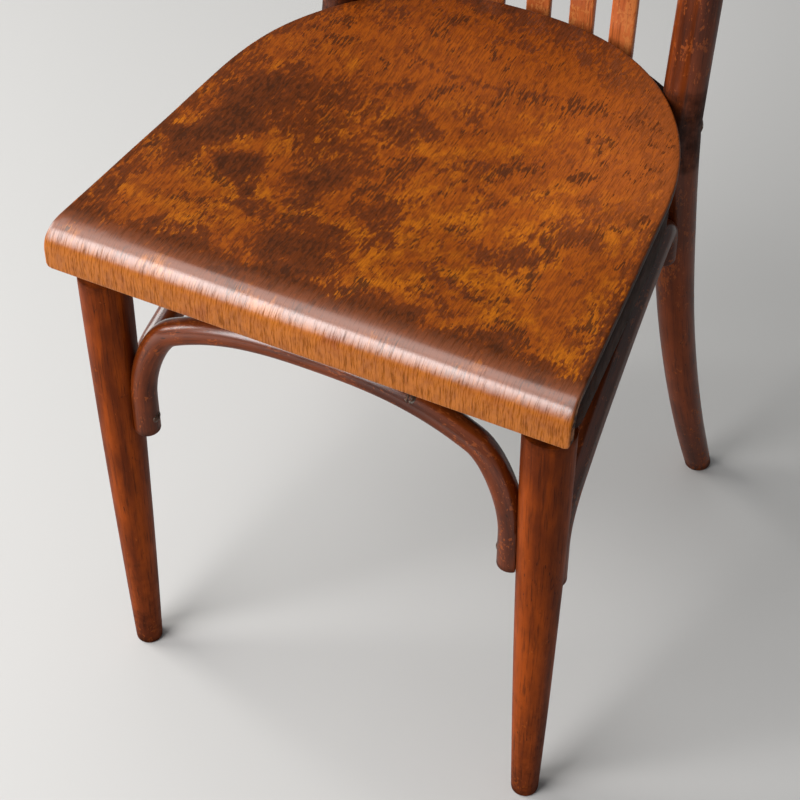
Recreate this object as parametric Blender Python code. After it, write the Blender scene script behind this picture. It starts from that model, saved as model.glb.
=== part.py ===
"""Old bentwood dining chair with a moulded plywood seat.

Metres, +Z up, the front of the chair faces -Y. The origin lies on the floor, under the
middle of the chair. Every bent or turned wooden part is a separate body, held by the
screws and bolts that such a chair has.
"""

import math

import bmesh
import bpy
import numpy as np
from mathutils import Matrix, Vector

# Clearances
GAP = 0.0003
CUT_MARGIN = 0.010

# How finely curves are drawn
WELD_DISTANCE = 1e-6
SHARP_ANGLE = math.radians(35.0)
CURVE_STEPS = 24
OUTLINE_STEPS = 160
LEAST_CROSSING = 0.3

# Seat panel: one sheet of plywood, dished, with its front edge rolled down
SEAT_HEIGHT = 0.455
PLY_THICKNESS = 0.008
SEAT_FRONT_Y = -0.1976
SEAT_REAR_Y = 0.1780
SEAT_FRONT_HALF_WIDTH = 0.1940
SEAT_TAPER = 0.0914
SEAT_SHOULDER_Y = 0.0070
SEAT_ROUNDNESS = 2.3
LIP_DEPTH = 0.033
LIP_RADIUS = 0.018
DISH_DEPTH = 0.011
DISH_REACH = 0.105
DISH_RIM = 0.026
SEAT_COLUMNS = 26
SEAT_ROWS = 22
LIP_ROWS = 6
REAR_FLAT = 0.0002

# Seat ring: a strip bent on edge into a closed hoop, glued under the panel
RING_INSET = 0.004
RING_THICKNESS = 0.020
RING_HEIGHT = 0.043
RING_FRONT_SETBACK = 0.016
RING_CORNER_RADIUS = 0.028
RING_EDGE = 0.002
RING_SIDE_POINTS = 22
RING_CORNER_POINTS = 6
RING_INNER_CORNER = 0.006
BLOCK_REACH = 0.052
BLOCK_DROP = 0.006

# Front legs: turned, tapered, with a tenon into the ring's corner
FRONT_LEG_SIDE_INSET = 0.0250
FRONT_LEG_FRONT_INSET = 0.0301
FRONT_LEG_TOP_RADIUS = 0.0185
FRONT_LEG_FOOT_RADIUS = 0.0105
FRONT_LEG_SWELL = 1.6
FRONT_LEG_RINGS = 8
TENON_RADIUS = 0.0095
TENON_LENGTH = 0.030
FOOT_CHAMFER = 0.0015
LEG_SIDES = 24

# Back hoop: rear legs, posts and top bow bent from one rod
POST_STANDOFF = 0.02445
POST_FORWARD = 0.0380
POST_LEAN = 0.150
POST_STRAIGHT = 0.235
BACK_HEIGHT = 0.407
POST_ROOT_DROP = 0.045
POST_ROOT_SPREAD = 0.0020
POST_ROOT_FORWARD = 0.0075
REAR_KNEE_DROP = 0.125
REAR_KNEE_SPREAD = 0.0075
REAR_KNEE_FORWARD = 0.0095
REAR_FOOT_SPREAD = 0.0285
REAR_FOOT_BACK = 0.0740
REAR_SWEEP = 1.65
REAR_LEG_STATIONS = 4
BOW_DEPTH = 0.010
BOW_SQUARENESS = 2.7
BOW_STATIONS = 6
REAR_FOOT_RADIUS = 0.0112
POST_RADIUS = 0.0158
BOW_RADIUS = 0.0130
HOOP_SIDES = 12
HOOP_STEP = 0.026

# Back rail and slats
RAIL_DROP = 0.023
RAIL_HEIGHT = 0.028
RAIL_THICKNESS = 0.014
RAIL_STANDOFF = 0.0145
RAIL_POINTS = 13
SLAT_COUNT = 5
SLAT_PITCH = 0.0365
SLAT_WIDTH = 0.020
SLAT_THICKNESS = 0.006
SLAT_TENON = 0.010

# Braces: round rods bent to fit between the legs under the seat ring
BRACE_RADIUS = 0.0099
BRACE_SIDES = 12
BRACE_STEP = 0.012
BEND_STEPS = 9
BRACE_END_CHAMFER = 0.002
BRACE_HOUSING = 0.0045
FRONT_BRACE_FOOT_DROP = 0.147
FRONT_BRACE_BEND_WIDTH = 0.030
FRONT_BRACE_BEND_HEIGHT = 0.058
FRONT_BRACE_CROWN = 0.047
FRONT_BRACE_CROWN_POWER = 2.6
SIDE_BRACE_FOOT_DROP = 0.182
SIDE_BRACE_BEND_DROP = 0.117
SIDE_BRACE_FRONT_BEND = 0.030
SIDE_BRACE_REAR_DROP = 0.044
SIDE_BRACE_REAR_END_DROP = 0.082
SIDE_BRACE_REAR_BEND = 0.022
SIDE_BRACE_BOW = 0.011
SIDE_BRACE_LEAD = 2

# Fasteners
SCREW_SHANK_RADIUS = 0.0022
SCREW_HEAD_RADIUS = 0.0046
SCREW_HEAD_RISE = 0.0026
SCREW_BITE = 0.012
SCREW_END_SETBACK = 0.016
SCREW_TIP = 0.004
SCREW_TIP_RADIUS = 0.0008
DOME_RINGS = 3
SCREW_SINK = 0.0012
REAR_SCREW_SETBACK = 0.009
REPAIR_SCREW_X = 0.071
REPAIR_SCREW_LENGTH = 0.013
REPAIR_SCREW_FACE = (0.0, -0.66, 0.75)
TOP_SCREW_DIRECTION = (0.0, -0.30, 0.95)
BOLT_RADIUS = 0.0030
BOLT_HEAD_RADIUS = 0.0080
BOLT_HEAD_RISE = 0.0040
NUT_RADIUS = 0.0062
BOLT_HEAD_SINK = 0.0006
BOLT_END = 0.0020
NUT_HEIGHT = 0.0050
NUT_SIDES = 6
NUT_STANDOFF = 0.0006
BOLT_DROP = 0.030
SCREW_SIDES = 12

# Places that follow from the sizes above
RING_TOP = SEAT_HEIGHT - PLY_THICKNESS - GAP
RING_UNDERSIDE = RING_TOP - RING_HEIGHT
FRONT_LEG_X = SEAT_FRONT_HALF_WIDTH - FRONT_LEG_SIDE_INSET
FRONT_LEG_Y = SEAT_FRONT_Y + FRONT_LEG_FRONT_INSET
POST_Y = SEAT_REAR_Y - POST_FORWARD
POST_STRAIGHT_TOP = SEAT_HEIGHT + POST_STRAIGHT
HOOP_HEIGHT = SEAT_HEIGHT + BACK_HEIGHT
REAR_KNEE_HEIGHT = SEAT_HEIGHT - REAR_KNEE_DROP
RAIL_TOP = SEAT_HEIGHT - RAIL_DROP
RAIL_CENTRE_Y = SEAT_REAR_Y + RAIL_STANDOFF
FRONT_BRACE_FOOT_HEIGHT = RING_UNDERSIDE - FRONT_BRACE_FOOT_DROP
SIDE_BRACE_FOOT_HEIGHT = RING_UNDERSIDE - SIDE_BRACE_FOOT_DROP
SIDE_BRACE_BEND_HEIGHT = RING_UNDERSIDE - SIDE_BRACE_BEND_DROP
SIDE_BRACE_REAR_HEIGHT = RING_UNDERSIDE - SIDE_BRACE_REAR_DROP
SIDE_BRACE_REAR_END_HEIGHT = RING_UNDERSIDE - SIDE_BRACE_REAR_END_DROP
SCREW_LENGTH = 2 * BRACE_RADIUS - SCREW_SINK + SCREW_BITE

# Colours, and how rough each surface is
WOOD = (0.235, 0.070, 0.022)
WOOD_DARK = (0.120, 0.036, 0.014)
WOOD_ROUGHNESS = 0.35
VENEER = (0.420, 0.170, 0.048)
VENEER_ROUGHNESS = 0.40
STEEL = (0.330, 0.310, 0.290)
STEEL_ROUGHNESS = 0.45
STEEL_METALLIC = 0.9


# Scene and finishes

def clear_scene():
    """Removes every object that the file starts with."""
    for item in list(bpy.data.objects):
        bpy.data.objects.remove(item, do_unlink=True)


def finish(name, colour, roughness, metallic=0.0):
    """A Principled material of one colour."""
    material = bpy.data.materials.new(name)
    material.use_nodes = True
    shader = material.node_tree.nodes["Principled BSDF"]
    shader.inputs["Base Color"].default_value = (*colour, 1.0)
    shader.inputs["Roughness"].default_value = roughness
    shader.inputs["Metallic"].default_value = metallic
    return material


def add_piece(name, vertices, faces, material, parent):
    """Makes one object from its points and faces, with its faces turned outwards."""
    mesh = bpy.data.meshes.new(name)
    mesh.from_pydata([tuple(v) for v in vertices], [], faces)
    work = bmesh.new()
    work.from_mesh(mesh)
    bmesh.ops.remove_doubles(work, verts=work.verts, dist=WELD_DISTANCE)
    bmesh.ops.recalc_face_normals(work, faces=work.faces)
    work.to_mesh(mesh)
    work.free()
    if material:
        mesh.materials.append(material)
    mesh.shade_smooth()
    mesh.set_sharp_from_angle(angle=SHARP_ANGLE)
    piece = bpy.data.objects.new(name, mesh)
    piece.parent = parent
    bpy.context.scene.collection.objects.link(piece)
    return piece


def cut(piece, cutter):
    """Takes the cutter's volume out of the piece."""
    cutter.hide_render = True
    cutter.display_type = "WIRE"
    boolean = piece.modifiers.new(f"cut_{cutter.name}", "BOOLEAN")
    boolean.operation = "DIFFERENCE"
    boolean.solver = "EXACT"
    boolean.object = cutter


# Shapes

def smooth_path(points, step):
    """Points at an even spacing along a smooth curve through the given points."""
    points = np.array(points, dtype=float)
    padded = np.vstack([2 * points[0] - points[1], points, 2 * points[-1] - points[-2]])
    fine = []
    for a, b, c, d in zip(padded, padded[1:], padded[2:], padded[3:]):
        t = np.linspace(0.0, 1.0, CURVE_STEPS, endpoint=False)[:, None]
        fine.append(0.5 * (2 * b + (c - a) * t + (2 * a - 5 * b + 4 * c - d) * t**2
                           + (3 * b - a - 3 * c + d) * t**3))
    fine = np.vstack([*fine, points[-1:]])
    return resample(fine, step)


def resample(line, step):
    """The same line with its points at an even spacing near the given step."""
    lengths = np.linalg.norm(np.diff(line, axis=0), axis=1)
    along = np.concatenate([[0.0], np.cumsum(lengths)])
    count = max(2, round(along[-1] / step) + 1)
    wanted = np.linspace(0.0, along[-1], count)
    return np.stack([np.interp(wanted, along, line[:, k]) for k in range(3)], axis=1)


def path_frames(path):
    """Unit tangents with two cross directions carried along the path without twist."""
    tangents = np.gradient(path, axis=0)
    tangents /= np.linalg.norm(tangents, axis=1)[:, None]
    start = np.cross(tangents[0], (0.0, 1.0, 0.0))
    if np.linalg.norm(start) < LEAST_CROSSING:
        start = np.cross(tangents[0], (1.0, 0.0, 0.0))
    across = [start / np.linalg.norm(start)]
    for tangent in tangents[1:]:
        flat = across[-1] - tangent * np.dot(across[-1], tangent)
        across.append(flat / np.linalg.norm(flat))
    across = np.array(across)
    return tangents, across, np.cross(tangents, across)


def rod_mesh(path, radii, sides, chamfer=0.0):
    """Points and faces of a round rod that follows the path, with chamfered ends."""
    tangents, across, up = path_frames(path)
    radii = np.broadcast_to(np.asarray(radii, dtype=float), (len(path),)).copy()
    if chamfer > 0.0:
        path = np.vstack([path[0], path[0] + tangents[0] * chamfer, path[1:-1],
                          path[-1] - tangents[-1] * chamfer, path[-1]])
        radii = np.concatenate([[radii[0] - chamfer], radii, [radii[-1] - chamfer]])
        across = np.vstack([across[:1], across, across[-1:]])
        up = np.vstack([up[:1], up, up[-1:]])
    angles = np.arange(sides) * (2 * math.pi / sides)
    ring = across[:, None, :] * np.cos(angles)[None, :, None]
    ring = ring + up[:, None, :] * np.sin(angles)[None, :, None]
    points = path[:, None, :] + ring * radii[:, None, None]
    faces = strip_faces(len(path), sides, wrap_rows=False)
    faces.append(list(range(sides)))
    faces.append(list(range((len(path) - 1) * sides, len(path) * sides)))
    return points.reshape(-1, 3), faces


def strip_faces(rows, columns, wrap_rows, wrap_columns=True):
    """Quads of a grid of points, joined round its columns and, if asked, its rows."""
    faces = []
    for row in range(rows if wrap_rows else rows - 1):
        below = row * columns
        above = ((row + 1) % rows) * columns
        for column in range(columns if wrap_columns else columns - 1):
            beside = (column + 1) % columns
            faces.append([below + column, below + beside, above + beside, above + column])
    return faces


def turned_mesh(profile, sides):
    """Points and faces of a turned body: (radius, height) pairs spun round +Z."""
    angles = np.arange(sides) * (2 * math.pi / sides)
    rows = [[(r * math.cos(a), r * math.sin(a), h) for a in angles] for r, h in profile]
    faces = strip_faces(len(profile), sides, wrap_rows=False)
    faces.append(list(range(sides)))
    faces.append(list(range((len(profile) - 1) * sides, len(profile) * sides)))
    return np.array(rows).reshape(-1, 3), faces


def dome_profile(radius, rise):
    """Profile rows of a round head, from its rim up to a small flat at its top."""
    turn = np.linspace(0.0, math.pi / 2, DOME_RINGS + 1, endpoint=False)
    return [(radius * math.cos(t), rise * math.sin(t)) for t in turn]


def rounded_corner(before, corner, after, setback):
    """Points of a smooth bend at a corner, which starts and ends at one distance from it."""
    before, corner, after = (np.array(point, dtype=float) for point in (before, corner, after))
    start = corner + setback * (before - corner) / np.linalg.norm(before - corner)
    end = corner + setback * (after - corner) / np.linalg.norm(after - corner)
    t = np.linspace(0.0, 1.0, BEND_STEPS)[:, None]
    return start * (1.0 - t)**2 + 2.0 * corner * t * (1.0 - t) + end * t**2


def turn_towards(point, direction):
    """The placement that puts a turned body's foot at the point, with +Z along the direction."""
    turn = Vector(direction).to_track_quat("Z", "Y").to_matrix().to_4x4()
    return Matrix.Translation(point) @ turn


def drill(piece, point, direction, radius, length, parent, sides=SCREW_SIDES):
    """Bores a round hole into the piece from the point, along the direction."""
    vertices, faces = turned_mesh([(radius, 0.0), (radius, length)], sides)
    bore = add_piece(f"bore_{len(bpy.data.objects)}", vertices, faces, None, parent)
    bore.matrix_world = turn_towards(point, direction)
    cut(piece, bore)


# Seat outline

def seat_half_width(y):
    """Half the seat's width: straight sides that taper, then a rounded rear."""
    y = np.asarray(y, dtype=float)
    straight = SEAT_FRONT_HALF_WIDTH - SEAT_TAPER * (y - SEAT_FRONT_Y)
    run = np.clip((y - SEAT_SHOULDER_Y) / (SEAT_REAR_Y - SEAT_SHOULDER_Y), 0.0, 1.0)
    return straight * (1.0 - run**SEAT_ROUNDNESS) ** (1.0 / SEAT_ROUNDNESS)


def post_x():
    """How far each post stands from the middle: just outside the seat's rounded rear corner."""
    return float(seat_half_width(POST_Y)) + POST_STANDOFF


def seat_outline(inset, front_y):
    """The right half of the seat's outline, moved inwards, from the front to the rear's middle."""
    turn = np.linspace(0.0, math.pi / 2, OUTLINE_STEPS)
    y = front_y + (SEAT_REAR_Y - front_y) * np.sin(turn)
    line = np.stack([seat_half_width(y), y, np.zeros_like(y)], axis=1)
    line[-1, 0] = 0.0
    slope = np.gradient(line, axis=0)
    slope /= np.linalg.norm(slope, axis=1)[:, None]
    moved = line + inset * np.stack([-slope[:, 1], slope[:, 0], np.zeros_like(y)], axis=1)
    moved[-1, 0] = 0.0
    moved[:, 1] = np.maximum(moved[:, 1], front_y)
    return moved


def ring_line(inset):
    """The closed outline of the ring at one inset, with rounded front corners."""
    corner_radius = max(RING_CORNER_RADIUS - inset, RING_INNER_CORNER)
    front_y = SEAT_FRONT_Y + RING_FRONT_SETBACK + inset - RING_INSET
    side = seat_outline(inset, front_y)
    side = side[side[:, 1] > front_y + corner_radius]
    side = resample(side, np.linalg.norm(np.diff(side, axis=0), axis=1).sum() / RING_SIDE_POINTS)
    centre = np.array([side[0, 0] - corner_radius, front_y + corner_radius, 0.0])
    turn = np.linspace(-math.pi / 2, 0.0, RING_CORNER_POINTS, endpoint=False)
    corner = centre + corner_radius * np.stack([np.cos(turn), np.sin(turn), 0 * turn], axis=1)
    right = np.vstack([corner, side])
    left = right[-2::-1] * np.array([-1.0, 1.0, 1.0])
    return np.vstack([right, left])


# Pieces

def dish_drop(x, y):
    """How far the panel lies below its rim: nothing over the ring, then a smooth slope down."""
    edge = seat_outline(0.0, SEAT_FRONT_Y)[:, :2]
    spots = np.stack([np.abs(x), y], axis=-1)[..., None, :]
    to_side = np.linalg.norm(spots - edge, axis=-1).min(axis=-1)
    to_front = y - SEAT_FRONT_Y - RING_FRONT_SETBACK
    share = np.clip((np.minimum(to_side, to_front) - DISH_RIM) / DISH_REACH, 0.0, 1.0)
    return DISH_DEPTH * share**2 * (3.0 - 2.0 * share)


def build_seat_panel(material, parent):
    """Moulded plywood: a dished sheet whose front edge rolls over and hangs down as a lip."""
    roll_start = SEAT_FRONT_Y + LIP_RADIUS
    turn = np.linspace(0.0, math.pi / 2, SEAT_ROWS)
    flat_y = roll_start + (SEAT_REAR_Y - REAR_FLAT - roll_start) * np.sin(turn)
    roll = np.linspace(math.pi / 2, 0.0, LIP_ROWS, endpoint=False)[1:]
    lip_y = roll_start - LIP_RADIUS * np.cos(roll)
    lip_z = SEAT_HEIGHT - LIP_RADIUS + LIP_RADIUS * np.sin(roll)
    hem_z = [SEAT_HEIGHT - LIP_DEPTH, SEAT_HEIGHT - LIP_RADIUS]
    rows_y = np.concatenate([[SEAT_FRONT_Y, SEAT_FRONT_Y], lip_y[::-1], flat_y])
    rows_z = np.concatenate([hem_z, lip_z[::-1], np.full(SEAT_ROWS, SEAT_HEIGHT)])
    slope = np.gradient(np.stack([rows_y, rows_z], axis=1), axis=0)
    slope[: len(hem_z)] = (0.0, 1.0)
    slope /= np.linalg.norm(slope, axis=1)[:, None]
    inward = np.stack([slope[:, 1], -slope[:, 0]], axis=1)
    across = np.sin(np.linspace(-math.pi / 2, math.pi / 2, SEAT_COLUMNS))
    x = seat_half_width(rows_y)[:, None] * across[None, :]
    y = np.broadcast_to(rows_y[:, None], x.shape)
    top = np.stack([x, y, rows_z[:, None] - dish_drop(x, y)], axis=2)
    under = top.copy()
    under[:, :, 1] += inward[:, None, 0] * PLY_THICKNESS
    under[:, :, 2] += inward[:, None, 1] * PLY_THICKNESS
    rows, columns = x.shape
    points = np.vstack([top.reshape(-1, 3), under.reshape(-1, 3)])
    count = rows * columns
    upper = strip_faces(rows, columns, wrap_rows=False, wrap_columns=False)
    faces = upper + [[count + corner for corner in reversed(face)] for face in upper]
    rim = list(range(columns))
    rim += [row * columns + columns - 1 for row in range(1, rows)]
    rim += [(rows - 1) * columns + column for column in range(columns - 2, -1, -1)]
    rim += [row * columns for row in range(rows - 2, 0, -1)]
    for here, following in zip(rim, rim[1:] + rim[:1]):
        faces.append([here, following, count + following, count + here])
    return add_piece("seat_panel", points, faces, material, parent)


def build_seat_ring(material, parent):
    """A closed hoop of rectangular section with eased edges, bored at the front for the legs."""
    levels = [(RING_INSET, RING_UNDERSIDE + RING_EDGE), (RING_INSET, RING_TOP - RING_EDGE),
              (RING_INSET + RING_EDGE, RING_TOP), (RING_INSET + RING_THICKNESS - RING_EDGE, RING_TOP),
              (RING_INSET + RING_THICKNESS, RING_TOP - RING_EDGE),
              (RING_INSET + RING_THICKNESS, RING_UNDERSIDE + RING_EDGE),
              (RING_INSET + RING_THICKNESS - RING_EDGE, RING_UNDERSIDE),
              (RING_INSET + RING_EDGE, RING_UNDERSIDE)]
    loops = []
    for inset, height in levels:
        loop = ring_line(inset)
        loop[:, 2] = height
        loops.append(loop)
    faces = strip_faces(len(loops), len(loops[0]), wrap_rows=True)
    return add_piece("seat_ring", np.vstack(loops), faces, material, parent)


def prism(name, outline, low, high, material, parent):
    """An upright block over a closed outline, between two heights."""
    count = len(outline)
    base = outline.copy()
    base[:, 2] = low
    lid = outline.copy()
    lid[:, 2] = high
    faces = strip_faces(2, count, wrap_rows=False)
    faces += [list(range(count)), list(range(count, 2 * count))]
    return add_piece(name, np.vstack([base, lid]), faces, material, parent)


def front_leg_radius(height):
    """Radius of a front leg at a height above the floor: the taper gets quicker towards the foot."""
    share = 1.0 - np.clip(height / RING_UNDERSIDE, 0.0, 1.0)
    return FRONT_LEG_TOP_RADIUS - (FRONT_LEG_TOP_RADIUS - FRONT_LEG_FOOT_RADIUS) * share**FRONT_LEG_SWELL


def build_front_leg(name, side, material, parent):
    """A turned, tapered leg that stops under the ring, with a round tenon that goes up into it."""
    top = RING_UNDERSIDE - GAP
    profile = [(FRONT_LEG_FOOT_RADIUS - FOOT_CHAMFER, 0.0)]
    profile += [(front_leg_radius(h), h) for h in np.linspace(FOOT_CHAMFER, top, FRONT_LEG_RINGS)]
    profile += [(TENON_RADIUS, top), (TENON_RADIUS, top + TENON_LENGTH)]
    vertices, faces = turned_mesh(profile, LEG_SIDES)
    leg = add_piece(name, vertices, faces, material, parent)
    leg.location = (side * FRONT_LEG_X, FRONT_LEG_Y, 0.0)
    return leg


def leg_housing(side, parent):
    """A cutter with a front leg's shape and its clearance, which copes what meets the leg."""
    top = RING_UNDERSIDE - GAP
    profile = [(front_leg_radius(h) + GAP, h) for h in np.linspace(FOOT_CHAMFER, top, FRONT_LEG_RINGS)]
    vertices, faces = turned_mesh(profile, LEG_SIDES)
    cutter = add_piece(f"leg_housing_{side}", vertices, faces, None, parent)
    cutter.location = (side * FRONT_LEG_X, FRONT_LEG_Y, 0.0)
    return cutter


def build_corner_block(name, side, material, parent):
    """A three-cornered hardwood block in a front corner of the ring, bored for the leg's tenon."""
    line = ring_line(RING_INSET + RING_THICKNESS + GAP)
    line = line[line[:, 0] > 0.0]
    near = line[line[:, 1] < line[0, 1] + BLOCK_REACH]
    front_end = line[0] - np.array([BLOCK_REACH, 0.0, 0.0])
    outline = np.vstack([front_end, near]) * np.array([side, 1.0, 1.0])
    low = RING_UNDERSIDE + BLOCK_DROP
    return prism(name, outline, low, RING_TOP - BLOCK_DROP, material, parent)


def hoop_stations():
    """Points that the hoop's middle line passes through, from the right foot to the top of the bow."""
    knee_y = POST_Y - REAR_KNEE_FORWARD
    foot_run = REAR_FOOT_BACK + REAR_KNEE_FORWARD
    points = []
    for height in np.linspace(-CUT_MARGIN, REAR_KNEE_HEIGHT, REAR_LEG_STATIONS + 1):
        share = 1.0 - height / REAR_KNEE_HEIGHT
        x = post_x() + REAR_KNEE_SPREAD + (REAR_FOOT_SPREAD - REAR_KNEE_SPREAD) * share
        points.append((x, knee_y + foot_run * share**REAR_SWEEP, height))
    root_height = SEAT_HEIGHT - POST_ROOT_DROP
    points.append((post_x() + POST_ROOT_SPREAD, POST_Y - POST_ROOT_FORWARD, root_height))
    points.append((post_x(), POST_Y, SEAT_HEIGHT))
    straight_y = POST_Y + POST_LEAN * (POST_STRAIGHT_TOP - SEAT_HEIGHT)
    bow_height = HOOP_HEIGHT - POST_STRAIGHT_TOP
    bow_back = POST_LEAN * bow_height + BOW_DEPTH
    for turn in np.linspace(0.0, math.pi / 2, BOW_STATIONS):
        rise = math.sin(turn) ** (2.0 / BOW_SQUARENESS)
        width = max(math.cos(turn), 0.0) ** (2.0 / BOW_SQUARENESS)
        height = POST_STRAIGHT_TOP + bow_height * rise
        points.append((post_x() * width, straight_y + bow_back * rise, height))
    points[-1] = (0.0, points[-1][1], points[-1][2])
    return points


def build_hoop(material, parent):
    """Rear legs, posts and top bow in one bent rod, thinner towards the feet and the top."""
    half = hoop_stations()
    other = [(-x, y, z) for x, y, z in half[-2::-1]]
    path = smooth_path(half + other, HOOP_STEP)
    heights = [0.0, REAR_KNEE_HEIGHT, POST_STRAIGHT_TOP, HOOP_HEIGHT]
    radii = np.interp(path[:, 2], heights, [REAR_FOOT_RADIUS, POST_RADIUS, POST_RADIUS, BOW_RADIUS])
    vertices, faces = rod_mesh(path, radii, HOOP_SIDES)
    hoop = add_piece("back_hoop", vertices, faces, material, parent)
    work = bmesh.new()
    work.from_mesh(hoop.data)
    everything = list(work.verts) + list(work.edges) + list(work.faces)
    found = bmesh.ops.bisect_plane(
        work, geom=everything, plane_co=(0, 0, 0), plane_no=(0, 0, -1), clear_outer=True)
    loops = [item for item in found["geom_cut"] if isinstance(item, bmesh.types.BMEdge)]
    bmesh.ops.holes_fill(work, edges=loops)
    bmesh.ops.recalc_face_normals(work, faces=work.faces)
    work.to_mesh(hoop.data)
    work.free()
    return hoop, path


def point_at_height(path, height, side):
    """The point of the hoop's path on one side at a height, below the posts' straight top."""
    half = path[: len(path) // 2]
    place = [np.interp(height, half[:, 2], half[:, k]) for k in range(3)]
    return np.array([side * place[0], place[1], height])


def rail_centre_y(x):
    """The back rail's and the slats' place behind the seat: an arc between the posts."""
    rise = RAIL_CENTRE_Y - POST_Y
    return RAIL_CENTRE_Y - rise * (np.asarray(x, dtype=float) / post_x()) ** 2


def build_back_rail(material, parent):
    """The bent rail behind the seat that holds the slats' lower ends."""
    x = np.linspace(-post_x(), post_x(), RAIL_POINTS)
    line = np.stack([x, rail_centre_y(x), np.zeros_like(x)], axis=1)
    slope = np.gradient(line, axis=0)
    slope /= np.linalg.norm(slope, axis=1)[:, None]
    across = np.stack([-slope[:, 1], slope[:, 0], 0 * x], axis=1)
    half = across * RAIL_THICKNESS / 2
    outline = np.vstack([line + half, (line - half)[::-1]])
    return prism("back_rail", outline, RAIL_TOP - RAIL_HEIGHT, RAIL_TOP, material, parent)


def slat_line(x, path):
    """The middle line of a slat, from inside the rail to inside the top bow."""
    bow = path[path[:, 2] > POST_STRAIGHT_TOP]
    over = bow[np.argmin(np.abs(bow[:, 0] - x))]
    foot = (x, rail_centre_y(x), RAIL_TOP - SLAT_TENON)
    head = (x, over[1], over[2] - BOW_RADIUS + SLAT_TENON)
    return np.array([foot, head])


def build_slat(name, x, path, grow, material, parent):
    """A flat upright slat, grown by a clearance where it serves as the cutter of its own mortises."""
    line = slat_line(x, path)
    line[:, 2] += (-grow, grow)
    width = SLAT_WIDTH / 2 + grow
    depth = SLAT_THICKNESS / 2 + grow
    corners = np.array([(-width, -depth, 0), (width, -depth, 0), (width, depth, 0), (-width, depth, 0)])
    points = (line[:, None, :] + corners[None, :, :]).reshape(-1, 3)
    faces = strip_faces(len(line), len(corners), wrap_rows=False)
    faces += [[0, 1, 2, 3], [4, 5, 6, 7]]
    return add_piece(name, points, faces, material, parent)


def front_brace_path():
    """An arch between the front legs: upright ends, round shoulders and a top crowned to the ring."""
    shoulder = RING_UNDERSIDE - GAP - BRACE_RADIUS - FRONT_BRACE_CROWN
    bend_start = shoulder - FRONT_BRACE_BEND_HEIGHT
    half = FRONT_LEG_X - front_leg_radius(FRONT_BRACE_FOOT_HEIGHT) - BRACE_RADIUS + BRACE_HOUSING
    turn = np.linspace(0.0, math.pi / 2, BEND_STEPS)
    side_x = half - FRONT_BRACE_BEND_WIDTH * (1.0 - np.cos(turn))
    side_z = bend_start + FRONT_BRACE_BEND_HEIGHT * np.sin(turn)
    top_x = np.linspace(side_x[-1], 0.0, BEND_STEPS)[1:]
    x = np.concatenate([[half], side_x, top_x])
    z = np.concatenate([[FRONT_BRACE_FOOT_HEIGHT], side_z, np.full(len(top_x), shoulder)])
    blend = np.clip((z - bend_start) / FRONT_BRACE_BEND_HEIGHT, 0.0, 1.0)
    z = z + FRONT_BRACE_CROWN * (1.0 - (x / half)**FRONT_BRACE_CROWN_POWER) * blend
    right = np.stack([x, np.full_like(x, FRONT_LEG_Y), z], axis=1)
    left = right[-2::-1] * np.array([-1.0, 1.0, 1.0])
    return smooth_path(np.vstack([right, left]), BRACE_STEP)


def side_brace_path(side, hoop_path):
    """A rod that stands behind the front leg, bends back and climbs to the rear leg, where it turns down."""
    reach = BRACE_RADIUS + GAP
    front_y = FRONT_LEG_Y + front_leg_radius(SIDE_BRACE_BEND_HEIGHT) + reach
    rear = point_at_height(hoop_path, SIDE_BRACE_REAR_END_HEIGHT, 1)
    rear_y = rear[1] - POST_RADIUS - reach
    share = np.linspace(0.0, 1.0, BEND_STEPS)
    climb_y = front_y + (rear_y - front_y) * share
    climb_z = SIDE_BRACE_BEND_HEIGHT + (SIDE_BRACE_REAR_HEIGHT - SIDE_BRACE_BEND_HEIGHT) * share
    climb_z += SIDE_BRACE_BOW * (1.0 - (2.0 * share - 1.0)**2)
    climb = np.stack([climb_y, climb_z], axis=1)
    foot = np.array([front_y, SIDE_BRACE_FOOT_HEIGHT])
    end = np.array([rear_y, SIDE_BRACE_REAR_END_HEIGHT])
    front_bend = rounded_corner(foot, climb[0], climb[SIDE_BRACE_LEAD], SIDE_BRACE_FRONT_BEND)
    rear_bend = rounded_corner(climb[-1 - SIDE_BRACE_LEAD], climb[-1], end, SIDE_BRACE_REAR_BEND)
    middle = climb[(climb_y > front_bend[-1, 0] + BRACE_STEP) & (climb_y < rear_bend[0, 0] - BRACE_STEP)]
    line = np.vstack([foot, front_bend, middle, rear_bend, end])
    along = (line[:, 0] - front_y) / (rear_y - front_y)
    x = FRONT_LEG_X + (rear[0] - FRONT_LEG_X) * along
    return smooth_path(np.stack([side * x, line[:, 0], line[:, 1]], axis=1), BRACE_STEP)


def build_screw(name, point, direction, length, material, parent):
    """A round-headed screw whose head's flat underside is at the point."""
    profile = [(SCREW_TIP_RADIUS, -length)]
    profile += [(SCREW_SHANK_RADIUS, height) for height in (SCREW_TIP - length, 0.0)]
    profile += dome_profile(SCREW_HEAD_RADIUS, SCREW_HEAD_RISE)
    vertices, faces = turned_mesh(profile, SCREW_SIDES)
    screw = add_piece(name, vertices, faces, material, parent)
    screw.matrix_world = turn_towards(point, [-c for c in direction])
    return screw


def fit_screw(name, surface, direction, length, pieces, material, parent):
    """Sinks a screw's head into the first piece at the surface point and bores all that its shank enters."""
    direction = np.array(direction, dtype=float)
    direction /= np.linalg.norm(direction)
    seat = np.array(surface, dtype=float) + direction * SCREW_SINK
    outside = seat - direction * CUT_MARGIN
    build_screw(name, seat, direction, length, material, parent)
    drill(pieces[0], outside, direction, SCREW_HEAD_RADIUS + GAP, CUT_MARGIN + GAP, parent)
    for piece in pieces:
        drill(piece, seat - direction * GAP, direction, SCREW_SHANK_RADIUS + GAP, length + 2 * GAP, parent)


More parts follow.
